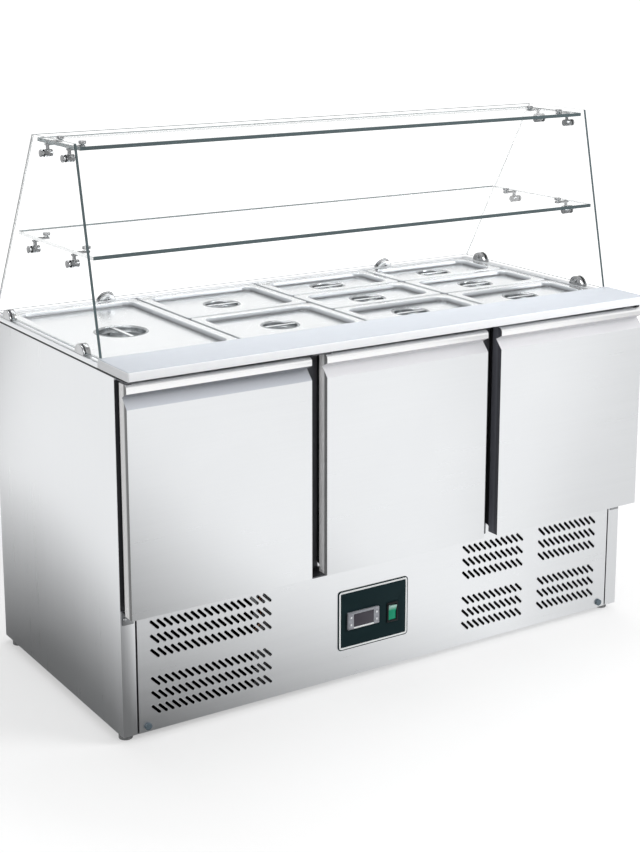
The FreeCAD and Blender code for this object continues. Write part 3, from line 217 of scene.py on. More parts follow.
class PressedSizes(bpy.types.PropertyGroup):
    """Rounding and steps of the lids and pans."""
    flange: length("Flange", "Flat rim of a lid", 22)
    sink: length("Sink", "Depth of a lid's panel", 10)
    bead: length("Bead", "Radius of the rolled edge round the panel", 3.2)
    gauge: length("Gauge", "Thickness of the sheet", 0.8)
    cup: length("Cup", "Depth of the finger cup below the panel", 14)
    cup_radius: length("Cup radius", "Radius of a small lid's cup", 38.5)
    full_cup_radius: length("Full cup radius", "Radius of the large lid's cup", 54)
    grip_width: length("Grip width", "Width of the bar across the cup", 10)
    grip_gauge: length("Grip gauge", "Thickness of the bar across the cup", 3)
    lid_inset: length("Lid inset", "How far a lid's edge lies inside its pan's", 1.5)
    pan_flange: length("Pan flange", "Flat rim of a pan", 12)
    pan_taper: length("Pan taper", "How much a pan narrows to its floor", 10)
    pan_corner: length("Pan corner", "Radius of a pan's upright corners", 30)
    edge_corner: length("Edge corner", "Radius of the rims' outer corners", 12)
    lid_corner: length("Lid corner", "Radius of the sunk panel's corners", 24)
    corner_steps: whole("Corner steps", "Points round one corner", 9)
    side_steps: whole("Side steps", "Points along one side", 7)


class FittingSizes(bpy.types.PropertyGroup):
    """Screws, slot rims, gasket ribs and wires."""
    slot_length: length("Slot length", "Length of a vent slot", 30)
    slot_width: length("Slot width", "Width of a vent slot", 7)
    slot_pitch: length("Slot pitch", "Distance between slots in a row", 16)
    slot_row: length("Slot row", "Distance between rows", 31.5)
    slot_block: length("Slot block", "Distance between blocks of rows", 126)
    slot_first: length("Slot first", "Height of the lowest row above the floor", 62)
    slot_tilt: angle("Slot tilt", "Slant of the slots", 45)
    slot_rim: length("Slot rim", "Radius of the rolled edge of a slot", 0.45)
    socket: length("Socket", "Width of a screw's hexagon", 4.4)
    wire: length("Wire", "Radius of the rack wires", 1.7)
    wire_pitch: length("Wire pitch", "Distance between rack wires", 24)
    post: length("Post", "Width of an upright between the doors", 100)
    seal: length("Seal", "Half the width of a gasket", 7)
    rib: length("Rib", "Depth of a gasket's ribs", 1.6)


class StudioSettings(bpy.types.PropertyGroup):
    """Floor, light and camera."""
    floor: share("Floor", "Diffuse share of the floor's white", 0.55)
    glow: share("Glow", "White of the floor near the part that is the same in light and shade", 0.45)
    mirror_floor: share("Mirror floor", "Diffuse share of the floor as steel mirrors it", 0.12)
    mirror_near: share("Mirror near", "Glow of the floor near the part as steel mirrors it", 0.08)
    mirror_far: share("Mirror far", "Glow of the floor farther off as steel mirrors it", 0.90)
    mirror_right: share("Mirror right", "Share of that glow that is left beyond the right end", 0.74)
    near: length("Near", "Distance up to which the floor keeps its shadow", 1000)
    far: length("Far", "Distance from which the floor is plain white", 3200)
    sky: number("Sky", "Strength of the even light", 0.42, min=0)
    zenith: share("Zenith", "White straight above as steel mirrors it", 0.50)
    key: number("Key", "Power of the main soft light", 125, unit="POWER")
    fill: number("Fill", "Power of the light from the left", 26, unit="POWER")
    top: number("Top", "Power of the light overhead", 42, unit="POWER")
    camera_place: FloatVectorProperty(name="Camera", description="Where the camera stands", subtype="XYZ",
                                      unit="LENGTH", size=3, default=(-2.0459, -3.1687, 1.6133))
    camera_turn: angle("Turn", "Camera's heading to the right of +Y", 32.671)
    camera_dip: angle("Dip", "How far the camera looks down", 12.579)
    lens: number("Lens", "Focal length for the long side of 36 mm", 69.72)
    shift: number("Shift", "Vertical lens shift of the framing", -0.125)


class SaladetteSettings(bpy.types.PropertyGroup):
    """All settings of the part's looks."""
    steel: PointerProperty(type=SteelFinish, name="Steel", description="Steel finishes")
    plastic: PointerProperty(type=PlasticFinish, name="Plastic", description="Plastic and rubber finishes")
    glass: PointerProperty(type=GlassFinish, name="Glass", description="Glass finishes")
    pressed: PointerProperty(type=PressedSizes, name="Pressed", description="Sizes of lids and pans")
    fitting: PointerProperty(type=FittingSizes, name="Fittings", description="Sizes of small repeated forms")
    studio: PointerProperty(type=StudioSettings, name="Studio", description="Stage, light and camera")


def settings():
    return bpy.context.scene.saladette


# Node trees

def named_tree(name):
    """Let a maker return the node tree of this name that it made before."""
    def wrap(maker):
        return lambda: bpy.data.node_groups.get(name) or maker(name)
    return wrap


def finish_once(maker):
    """Let a maker return the finish that it made before under the same name."""
    def find(name, *values, **options):
        return bpy.data.materials.get(name + "_finish") or maker(name, *values, **options)
    return find


def join(tree, value, socket):
    """Link a socket from another one, or set it to a constant."""
    if isinstance(value, bpy.types.NodeSocket):
        tree.links.new(value, socket)
    else:
        socket.default_value = value


def feed(tree, node, **sockets):
    """Join a node's inputs by name, with underscores for spaces."""
    for label, value in sockets.items():
        join(tree, value, node.inputs[label.replace("_", " ")])
    return node


def grow(tree, kind, **sockets):
    return feed(tree, tree.nodes.new(kind), **sockets)


def math_node(tree, operation, *values, kind="ShaderNodeMath", result=0):
    node = tree.nodes.new(kind)
    node.operation = operation
    for value, socket in zip(values, node.inputs):
        join(tree, value, socket)
    return node.outputs[result]


def weighted(tree, *terms):
    """The sum of two values, each times its weight."""
    return math_node(tree, "ADD", *[math_node(tree, "MULTIPLY", value, weight) for value, weight in terms])


def map_range(tree, value, low, high, start=0.0, stop=1.0):
    node = grow(tree, "ShaderNodeMapRange", Value=value, From_Min=start, From_Max=stop, To_Min=low,
                To_Max=high)
    return node.outputs["Result"]


def noise(tree, vector, scale, detail, roughness=0.5):
    node = grow(tree, "ShaderNodeTexNoise", Vector=vector, Scale=scale, Detail=detail, Roughness=roughness)
    return node.outputs["Fac"]


def axis_of(tree, vector, axis):
    return grow(tree, "ShaderNodeSeparateXYZ", Vector=vector).outputs[axis]


def shader_group(name, inputs, outputs):
    """A shader group that takes a vector and named values; returns it, its inputs and its output node."""
    group = bpy.data.node_groups.new(name, "ShaderNodeTree")
    group.interface.new_socket("Vector", in_out="INPUT", socket_type="NodeSocketVector")
    for label, value in inputs.items():
        kind = "NodeSocketFloat" if isinstance(value, float) else "NodeSocketVector"
        group.interface.new_socket(label, in_out="INPUT", socket_type=kind).default_value = value
    for label in outputs:
        group.interface.new_socket(label, in_out="OUTPUT", socket_type="NodeSocketFloat")
    return group, group.nodes.new("NodeGroupInput").outputs, group.nodes.new("NodeGroupOutput")


@named_tree("brush_strokes")
def brush_group(name):
    """Long fine strokes: two layers of stretched noise."""
    inputs = {"Strokes": 260.0, "Stretch": ALONG["x"]}
    group, source, result = shader_group(name, inputs, ("Streak", "Tone"))
    stretched = math_node(group, "MULTIPLY", source["Vector"], source["Stretch"], kind=VECTOR_MATH)
    fine = noise(group, stretched, source["Strokes"], 3.0, 0.65)
    coarse = noise(group, stretched, math_node(group, "MULTIPLY", source["Strokes"], 0.21), 2.0)
    feed(group, result, Streak=weighted(group, (fine, 0.6), (coarse, 0.4)),
         Tone=noise(group, source["Vector"], 2.3, 3.0))
    return group


@named_tree("wiped_smears")
def handling_group(name):
    """Faint smears from wiping, and a wider change of tone."""
    group, source, result = shader_group(name, {"Scale": 9.0}, ("Smear", "Tone"))
    slanted = grow(group, "ShaderNodeMapping", Vector=source["Vector"], Rotation=(0.4, 0.3, 0.5),
                   Scale=(1.0, 0.35, 1.0))
    smear = noise(group, slanted.outputs["Vector"], source["Scale"], 5.0, 0.6)
    feed(group, result, Smear=map_range(group, smear, 0.0, 1.0, 0.35, 0.75),
         Tone=noise(group, source["Vector"], 1.7, 2.0))
    return group


@named_tree("moulded_skin")
def moulded_group(name):
    """The fine leather-like skin of a moulding, with a slow change of tone."""
    group, source, result = shader_group(name, {"Scale": 900.0}, ("Height", "Tone"))
    cells = group.nodes.new("ShaderNodeTexVoronoi")
    cells.feature = "SMOOTH_F1"
    feed(group, cells, Vector=source["Vector"], Scale=source["Scale"])
    feed(group, result, Height=cells.outputs["Distance"], Tone=noise(group, source["Vector"], 14.0, 4.0))
    return group


# Materials

def blank_material(name):
    """A material with a Principled shader; returns it, its tree, the shader and the object's coordinates."""
    material = bpy.data.materials.new(name + "_finish")
    material.use_nodes = True
    tree = material.node_tree
    tree.nodes.clear()
    shader = tree.nodes.new("ShaderNodeBsdfPrincipled")
    grow(tree, "ShaderNodeOutputMaterial", Surface=shader.outputs["BSDF"])
    return material, tree, shader, tree.nodes.new("ShaderNodeTexCoord").outputs["Object"]


def placed(tree, group, vector, **values):
    node = tree.nodes.new("ShaderNodeGroup")
    node.node_tree = group
    return feed(tree, node, Vector=vector, **values).outputs


def mixed_colour(tree, factor, *tints):
    """A colour between two tints."""
    node = tree.nodes.new("ShaderNodeMix")
    node.data_type = "RGBA"
    sockets = [socket for socket in node.inputs if socket.name in "AB" and socket.type == "RGBA"]
    for socket, tint in zip(sockets, tints):
        socket.default_value = (*tint, 1)
    join(tree, factor, node.inputs["Factor"])
    return [socket for socket in node.outputs if socket.type == "RGBA"][0]


def shaded(tree, tone, base, spread):
    """A colour that goes a little darker and lighter with a mask."""
    return mixed_colour(tree, tone, *[[min(1.0, part * factor) for part in base]
                                      for factor in (1 - spread, 1 + spread)])


def bumped(tree, height, depth, strength):
    return grow(tree, "ShaderNodeBump", Height=height, Distance=depth, Strength=strength).outputs["Normal"]


@finish_once
def brushed_steel(name, base, roughness, stretch, strokes, relief=0.12, fade=None, metallic=1.0):
    """Steel with brush strokes; a fade goes from dark to light between two places on an axis."""
    material, tree, shader, place = blank_material(name)
    brush = placed(tree, brush_group(), place, Strokes=strokes, Stretch=stretch)
    wiped = placed(tree, handling_group(), place, Scale=7.0)
    if fade:
        axis, dark, light, spread = fade
        tone = map_range(tree, axis_of(tree, place, axis), 0.0, 1.0, dark, light)
    else:
        tone, spread = weighted(tree, (brush["Streak"], 0.6), (brush["Tone"], 0.4)), 0.05
    soft = map_range(tree, brush["Streak"], roughness - 0.06, roughness + 0.06, 0.25, 0.75)
    feed(tree, shader, Metallic=metallic, Base_Color=shaded(tree, tone, base, spread),
         Roughness=weighted(tree, (soft, 1.0), (wiped["Smear"], 0.045)),
         Normal=bumped(tree, brush["Streak"], 0.12 * MM, relief))
    return material


@finish_once
def pressed_steel(name, base):
    """Smooth steel of the pans and lids, pressed from sheet."""
    material, tree, shader, place = blank_material(name)
    roughness = settings().steel.pressed_roughness
    wiped = placed(tree, handling_group(), place, Scale=14.0)
    brush = placed(tree, brush_group(), place, Strokes=420.0, Stretch=(0.05, 1.0, 1.0))
    soft = map_range(tree, wiped["Smear"], roughness - 0.03, roughness + 0.05)
    feed(tree, shader, Metallic=1.0, Base_Color=shaded(tree, wiped["Tone"], base, 0.03),
         Roughness=weighted(tree, (soft, 1.0), (brush["Streak"], 0.05)),
         Normal=bumped(tree, brush["Streak"], 0.06 * MM, 0.08))
    return material


@finish_once
def polished_metal(name, base, roughness):
    material, tree, shader, place = blank_material(name)
    wiped = placed(tree, handling_group(), place, Scale=60.0)
    feed(tree, shader, Metallic=1.0, Base_Color=shaded(tree, wiped["Tone"], base, 0.05),
         Roughness=map_range(tree, wiped["Smear"], roughness * 0.7, roughness * 1.6))
    return material


@finish_once
def moulded_plastic(name, base, roughness, grain=900.0, relief=0.15, coat=0.0, specular=0.5):
    material, tree, shader, place = blank_material(name)
    skin = placed(tree, moulded_group(), place, Scale=grain)
    feed(tree, shader, Base_Color=shaded(tree, skin["Tone"], base, 0.07),
         Roughness=map_range(tree, skin["Tone"], roughness - 0.05, roughness + 0.07, 0.3, 0.7),
         Normal=bumped(tree, skin["Height"], 0.2 * MM, relief), Coat_Weight=coat, Coat_Roughness=0.08,
         Specular_IOR_Level=specular)
    return material


@finish_once
def board_plastic(name, base):
    """White cutting board: satin, with fine knife marks along its length."""
    material, tree, shader, place = blank_material(name)
    marks = placed(tree, brush_group(), place, Strokes=90.0, Stretch=(0.25, 1.0, 1.0))
    skin = placed(tree, moulded_group(), place, Scale=700.0)
    height = weighted(tree, (marks["Streak"], 0.7), (skin["Height"], 0.3))
    feed(tree, shader, Base_Color=shaded(tree, marks["Tone"], base, 0.02), Specular_IOR_Level=0.3,
         Roughness=map_range(tree, marks["Streak"], 0.46, 0.62, 0.3, 0.7),
         Normal=bumped(tree, height, 0.3 * MM, 0.10))
    return material


@finish_once
def clear_glass(name, bending):
    """Toughened glass that lets the lamps' light through."""
    material, tree, shader, place = blank_material(name)
    tint = (*settings().glass.clear, 1)
    wiped = placed(tree, handling_group(), place, Scale=5.0)
    feed(tree, shader, Base_Color=tint, Transmission_Weight=1.0, IOR=bending,
         Roughness=map_range(tree, wiped["Smear"], 0.0, 0.004))
    path = tree.nodes.new("ShaderNodeLightPath").outputs
    mixed = grow(tree, "ShaderNodeMixShader", Fac=path["Is Shadow Ray"])
    join(tree, shader.outputs["BSDF"], mixed.inputs[1])
    join(tree, grow(tree, "ShaderNodeBsdfTransparent", Color=tint).outputs["BSDF"], mixed.inputs[2])
    output = [node for node in tree.nodes if node.type == "OUTPUT_MATERIAL"][0]
    feed(tree, output, Surface=mixed.outputs["Shader"])
    return material


@finish_once
def glass_edge(name, tint):
    """The ground edge of a pane, dark where it shows the glass lengthways."""
    material, tree, shader, place = blank_material(name)
    wiped = placed(tree, handling_group(), place, Scale=4.0)
    feed(tree, shader, Base_Color=shaded(tree, wiped["Tone"], tint, 0.35), Coat_Weight=0.4,
         Roughness=map_range(tree, wiped["Smear"], 0.12, 0.26))
    return material


@finish_once
def clear_green(name, tints, start, stop):
    """Clear plastic that goes from one tint to another between two heights; the upper tint is a painted
    highlight.
    """
    material, tree, shader, place = blank_material(name)
    skin = placed(tree, moulded_group(), place, Scale=60.0)
    tip = map_range(tree, axis_of(tree, place, "Z"), 0.0, 1.0, start, stop)
    tone = math_node(tree, "MULTIPLY", tip, map_range(tree, skin["Tone"], 0.6, 1.0))
    feed(tree, shader, Base_Color=mixed_colour(tree, tone, *tints), Coat_Weight=0.15, Specular_IOR_Level=0.15,
         Roughness=map_range(tree, skin["Tone"], 0.16, 0.26))
    return material


def sheet_steel(along="x"):
    """Outer sheet, brushed along an axis."""
    steel = settings().steel
    return brushed_steel(f"brushed_sheet_{along}", steel.sheet, steel.sheet_roughness, ALONG[along],
                         steel.grain)


def zinc_sheet():
    return brushed_steel("zinc_sheet", settings().steel.zinc, 0.46, (0.6, 1.0, 0.7), 60.0, 0.05)


def fitting_plate(name, base, relief, metallic):
    return brushed_steel(name, base, 0.36, (0.3, 1.0, 1.0), 300.0, relief, None, metallic)


def finned(name, base, roughness):
    """Thin fins, brushed across."""
    return brushed_steel(name, base, roughness, (1.0, 0.2, 0.2), 300.0)


def drawn_steel():
    """The pans and the lids' cups, in a dark colour that is painted shade for the gaps and hollows."""
    return pressed_steel("drawn_steel", settings().steel.drawn)


def chrome():
    return polished_metal("bright_chrome", settings().steel.fitting, 0.10)


def fixing_metal():
    return polished_metal("fixing_metal", settings().steel.fixing, 0.16)


def seam_line():
    """Steel painted dark as shade: the fold line at a door's hinge-side edge, and the shaded hinge tabs."""
    return brushed_steel("seam_line", settings().steel.seam, 0.5, ALONG["z"], settings().steel.grain)


def rubber():
    return moulded_plastic("gasket_rubber", settings().plastic.rubber, 0.55, 800.0, 0.12, 0.0, 0.2)


def door_lining():
    return moulded_plastic("door_lining", settings().plastic.lining, 0.38, 500.0, 0.06)


def line_white():
    return moulded_plastic("line_white", settings().plastic.line, 0.4, 500.0, 0.03)


# Meshes

def new_object(name, mesh):
    obj = bpy.data.objects.new(name, mesh)
    bpy.context.scene.collection.objects.link(obj)
    return obj


def object_from(bm, name):
    mesh = bpy.data.meshes.new(name)
    bm.to_mesh(mesh)
    bm.free()
    return new_object(name, mesh)


def baked(obj):
    """Give an object its evaluated mesh and drop its modifiers."""
    graph = bpy.context.evaluated_depsgraph_get()
    mesh = bpy.data.meshes.new_from_object(obj.evaluated_get(graph), preserve_all_data_layers=True,
                                           depsgraph=graph)
    obj.modifiers.clear()
    old, obj.data = obj.data, mesh
    bpy.data.meshes.remove(old)
    return obj


def node_copy(node):
    """A merged copy of a CAD node's mesh, with flat areas joined."""
    bm = bmesh.new()
    bm.from_mesh(NODES[node].data)
    bmesh.ops.remove_doubles(bm, verts=bm.verts, dist=0.002 * MM)
    bmesh.ops.dissolve_limit(bm, angle_limit=math.radians(0.3), verts=bm.verts, edges=bm.edges,
                             delimit={"NORMAL"})
    return object_from(bm, node + "_look")


def shade(obj, smooth):
    obj.data.polygons.foreach_set("use_smooth", [smooth] * len(obj.data.polygons))


def eased(obj, width, segments=2, degrees=35):
    """Round an object's sharp edges and smooth what is left."""
    shade(obj, True)
    bevel = obj.modifiers.new("eased_edges", "BEVEL")
    bevel.width = width
    bevel.segments = segments
    bevel.limit_method = "ANGLE"
    bevel.angle_limit = math.radians(degrees)
    bevel.harden_normals = True
    bevel.miter_outer = "MITER_ARC"
    return baked(obj)


def smoothed(obj, degrees=35):
    shade(obj, True)
    obj.data.set_sharp_from_angle(angle=math.radians(degrees))
    return obj


def thickened(obj, gauge):
    """Give a skin its sheet's thickness on the inside."""
    sheet = obj.modifiers.new("gauge", "SOLIDIFY")
    sheet.thickness = gauge
    sheet.offset = -1.0
    return baked(obj)


def coat(obj, *materials):
    obj.data.materials.clear()
    for material in materials:
        obj.data.materials.append(material)
    return obj


def sort_faces(obj, *tests):
    """Give the faces that pass a test the finish of the same number; the others keep the first one."""
    for face in obj.data.polygons:
        face.material_index = 0
        for index, test in enumerate(tests, 1):
            if test(face):
                face.material_index = index
    return obj


def stand_for(obj, *nodes):
    """Let a finished piece ride with its CAD nodes' body, and show instead of them."""
    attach(obj, NODES[nodes[0]]["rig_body"])
    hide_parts(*nodes)
    return obj


def add_on(obj, body):
    """Let an extra piece ride with a body."""
    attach(obj, body)
    return obj


def dress(node, material, width, segments=2):
    """A CAD node's own form with edges eased by a width in mm, and a finish."""
    return stand_for(coat(eased(node_copy(node), width * MM, segments), material), node)


def plain(node, material, degrees=30):
    """A CAD node's own form with its edges left sharp, for sheets with many openings."""
    return stand_for(coat(smoothed(node_copy(node), degrees), material), node)


def paint(node, material):
    """A finish straight on a CAD node, for pieces that are mostly hidden."""
    coat(NODES[node], material)


def middle_of(low, high):
    return (low + high) / 2, (high - low) / 2


def ring_maker(half_u, half_v, corner_steps, side_steps):
    """A maker of rings in a rectangle with round corners, counter-clockwise, each at one level."""
    def ring(inset, level, radius):
        radius = max(radius, 0.01 * MM)
        corners = []
        for quarter, (sign_u, sign_v) in enumerate(((1, -1), (1, 1), (-1, 1), (-1, -1))):
            centre = Vector((sign_u * (half_u - inset - radius), sign_v * (half_v - inset - radius)))
            turns = [math.pi / 2 * (quarter - 1 + step / corner_steps) for step in range(corner_steps + 1)]
            corners.append([centre + radius * Vector((math.cos(turn), math.sin(turn))) for turn in turns])
        points = []
        for corner, following in zip(corners, corners[1:] + corners[:1]):
            points += corner
            points += [corner[-1].lerp(following[0], step / (side_steps + 1))
                       for step in range(1, side_steps + 1)]
        return [Vector((point.x, point.y, level)) for point in points]
    return ring


def stepped(ring, inset, level, radius, steps):
    """Rings from a table in mm, counted from an inset, a level and a corner radius."""
    return [ring(inset + inward * MM, level + height * MM, radius + rounding * MM)
            for inward, height, rounding in steps]


def round_ring(like, radius, level):
    """A circle whose points face those of another ring."""
    return [Vector((point.x, point.y, 0)).normalized() * radius + Vector((0, 0, level)) for point in like]


def on_top(centre, level):
    """Puts a ring's points on a level face."""
    return lambda point: Vector((centre.x + point.x, centre.y + point.y, level + point.z))


def on_front(centre, y, outward):
    """Puts a ring's points on a face across Y."""
    return lambda point: Vector((centre.x + point.x, y + outward * point.z, centre.z + point.y))


def loft(bm, rings, place, close=True, flip=False):
    """Skin a row of rings from the outside in, and close the last one with a fan."""
    rows = [[bm.verts.new(place(point)) for point in ring] for ring in rings]
    count = len(rows[0])
    faces = [(outer[i], outer[(i + 1) % count], inner[(i + 1) % count], inner[i])
             for outer, inner in zip(rows, rows[1:]) for i in range(count)]
    if close:
        last, middle = rows[-1], bm.verts.new(place(sum(rings[-1], Vector()) / count))
        faces += [(last[i], last[(i + 1) % count], middle) for i in range(count)]
    for face in faces:
        bm.faces.new(face[::-1] if flip else face)


def lofted(name, rings, place, **options):
    bm = bmesh.new()
    loft(bm, rings, place, **options)
    return object_from(bm, name)


def add_block(bm, low, high, width, segments=2):
    """A block with rounded edges."""
    made = bmesh.ops.create_cube(bm, size=1.0)["verts"]
    for vert in made:
        vert.co = Vector([a + (b - a) * (part + 0.5) for a, b, part in zip(low, high, vert.co)])
    edges = list({edge for vert in made for edge in vert.link_edges})
    bmesh.ops.bevel(bm, geom=edges, offset=width, segments=segments, profile=0.5, affect="EDGES",
                    clamp_overlap=True)


def blocks(name, limits, width, segments):
    bm = bmesh.new()
    for low, high in limits:
        add_block(bm, low, high, width, segments)
    return object_from(bm, name)


# Geometry node trees

def growth_tree(name, **inputs):
    """A geometry tree with inputs named under their kinds; returns it, its inputs and its output socket."""
    tree = bpy.data.node_groups.new(name, "GeometryNodeTree")
    for way in ("INPUT", "OUTPUT"):
        tree.interface.new_socket("Geometry", in_out=way, socket_type="NodeSocketGeometry")
    for kind, labels in inputs.items():
        for label in labels.split():
            tree.interface.new_socket(label.replace("_", " "), in_out="INPUT",
                                      socket_type="NodeSocket" + kind)
    return tree, tree.nodes.new("NodeGroupInput").outputs, tree.nodes.new("NodeGroupOutput").inputs[0]


def geo(tree, kind, **sockets):
    return grow(tree, "GeometryNode" + kind, **sockets).outputs[0]


def joined(tree, *geometries):
    node = tree.nodes.new("GeometryNodeJoinGeometry")
    for geometry in geometries:
        tree.links.new(geometry, node.inputs[0])
    return node.outputs[0]


def rounded_path(tree, width, height, radius, steps):
    """A rectangle with round corners."""
    path = geo(tree, "CurvePrimitiveQuadrilateral", Width=width, Height=height)
    fillet = tree.nodes.new("GeometryNodeFilletCurve")
    fillet.mode = "POLY"
    return feed(tree, fillet, Curve=path, Count=steps, Radius=radius).outputs[0]


def end_tree(tree, source, result, geometry):
    """Realize what was instanced and give it its finish."""
    smooth = geo(tree, "SetShadeSmooth", Geometry=geo(tree, "RealizeInstances", Geometry=geometry))
    tree.links.new(geo(tree, "SetMaterial", Geometry=smooth, Material=source["Material"]), result)
    return tree


def grown(name, tree, points=(), **values):
    """Run a geometry tree on some points and keep the result as a plain mesh."""
    mesh = bpy.data.meshes.new(name)
    mesh.from_pydata([tuple(point) for point in points], [], [])
    obj = new_object(name, mesh)
    modifier = obj.modifiers.new("growth", "NODES")
    modifier.node_group = tree
    for item in tree.interface.items_tree:
        label = item.name.replace(" ", "_")
        if item.item_type == "SOCKET" and item.in_out == "INPUT" and label in values:
            modifier[item.identifier] = values[label]
    return baked(obj)


@named_tree("socket_screws")
def screw_tree(name):
    """Button-head screws with a hexagon socket, one at each point."""
    tree, source, result = growth_tree(name, Float="Radius Height Socket", Rotation="Facing",
                                       Material="Material Hollow")
    radius, height = source["Radius"], source["Height"]

    def times(value, factor):
        return math_node(tree, "MULTIPLY", value, factor)

    def lifted(geometry, factor):
        offset = grow(tree, "ShaderNodeCombineXYZ", Z=times(height, factor))
        return geo(tree, "Transform", Geometry=geometry, Translation=offset.outputs[0])
    low = geo(tree, "MeshCone", Vertices=20, Radius_Top=radius, Radius_Bottom=radius,
              Depth=times(height, 0.55))
    dome = geo(tree, "MeshCone", Vertices=20, Radius_Top=times(radius, 0.72), Radius_Bottom=radius,
               Depth=times(height, 0.45))
    hollow = geo(tree, "MeshCylinder", Vertices=6, Radius=times(source["Socket"], 0.577),
                 Depth=times(height, 0.2))
    marked = tree.nodes.new("GeometryNodeStoreNamedAttribute")
    marked.data_type, marked.domain = "BOOLEAN", "FACE"
    feed(tree, marked, Geometry=lifted(hollow, 0.91), Name="hollow", Value=True)
    screw = joined(tree, low, lifted(dome, 0.55), marked.outputs[0])
    spots = geo(tree, "MeshToPoints", Mesh=source["Geometry"])
    spread = geo(tree, "InstanceOnPoints", Points=spots, Instance=screw, Rotation=source["Facing"])
    real = geo(tree, "RealizeInstances", Geometry=spread)
    bright = geo(tree, "SetMaterial", Geometry=real, Material=source["Material"])
    flag = tree.nodes.new("GeometryNodeInputNamedAttribute")
    flag.data_type = "BOOLEAN"
    feed(tree, flag, Name="hollow")
    dark = geo(tree, "SetMaterial", Geometry=bright, Selection=flag.outputs[0], Material=source["Hollow"])
    tree.links.new(dark, result)
    return tree


@named_tree("slot_rims")
def slot_tree(name):
    """Rolled edges round slanted slots: rows of columns, in two blocks."""
    tree, source, result = growth_tree(
        name, Int="Columns", Float="Width Height Slot_length Slot_width Round Rim", Vector="Block Start Tilt",
        Material="Material")
    outline = rounded_path(tree, source["Slot length"], source["Slot width"], source["Round"], 2)
    wire = geo(tree, "CurvePrimitiveCircle", Resolution=4, Radius=source["Rim"])
    rim = geo(tree, "CurveToMesh", Curve=outline, Profile_Curve=wire)
    turned = geo(tree, "Transform", Geometry=rim, Rotation=source["Tilt"])
    grid = geo(tree, "MeshGrid", Size_X=source["Width"], Size_Y=source["Height"],
               Vertices_X=source["Columns"], Vertices_Y=3)
    rows = geo(tree, "InstanceOnPoints", Points=grid, Instance=turned)
    line = geo(tree, "MeshLine", Count=2, Offset=source["Block"])
    both = geo(tree, "InstanceOnPoints", Points=line, Instance=rows)
    upright = geo(tree, "Transform", Geometry=both, Translation=source["Start"], Rotation=UPRIGHT)
    return end_tree(tree, source, result, upright)


@named_tree("rack_wires")
def rack_tree(name):
    """A rack of wires from front to back on three cross wires."""
    tree, source, result = growth_tree(
        name, Int="Count", Float="Depth Width Wire", Vector="Start Step Cross_start Cross_step",
        Material="Material")

    def wires(sides, span, turn, **line):
        wire = geo(tree, "MeshCylinder", Vertices=sides, Radius=source["Wire"], Depth=span)
        spots = geo(tree, "MeshLine", **line)
        return geo(tree, "InstanceOnPoints", Points=spots, Instance=wire, Rotation=turn)
    long = wires(8, source["Depth"], UPRIGHT, Count=source["Count"], Start_Location=source["Start"],
                 Offset=source["Step"])
    cross = wires(10, source["Width"], Euler((0, math.pi / 2, 0)), Count=3,
                  Start_Location=source["Cross start"], Offset=source["Cross step"])
    return end_tree(tree, source, result, joined(tree, long, cross))


@named_tree("gasket_ribs")
def gasket_tree(name):
    """A ribbed seal round a door's edge."""
    tree, source, result = growth_tree(name, Float="Width Height Corner Outer Inner", Vector="Section Centre",
                                       Material="Material")
    path = rounded_path(tree, source["Width"], source["Height"], source["Corner"], 6)
    ribs = geo(tree, "CurveStar", Points=8, Inner_Radius=source["Inner"], Outer_Radius=source["Outer"])
    section = geo(tree, "Transform", Geometry=ribs, Scale=source["Section"])
    tube = geo(tree, "CurveToMesh", Curve=path, Profile_Curve=section)
    upright = geo(tree, "Transform", Geometry=tube, Translation=source["Centre"], Rotation=UPRIGHT)
    return end_tree(tree, source, result, upright)


def screws(name, points, facing, radius, height, body):
    """A set of like screws that face one way."""
    turn = Vector((0, 0, 1)).rotation_difference(Vector(facing)).to_euler()
    hollow = moulded_plastic("socket_shadow", settings().plastic.socket, 0.6)
    obj = grown(name, screw_tree(), points, Radius=radius, Height=height, Socket=settings().fitting.socket,
                Facing=turn, Material=chrome(), Hollow=hollow)
    return add_on(smoothed(obj, 40), body)


# Pieces

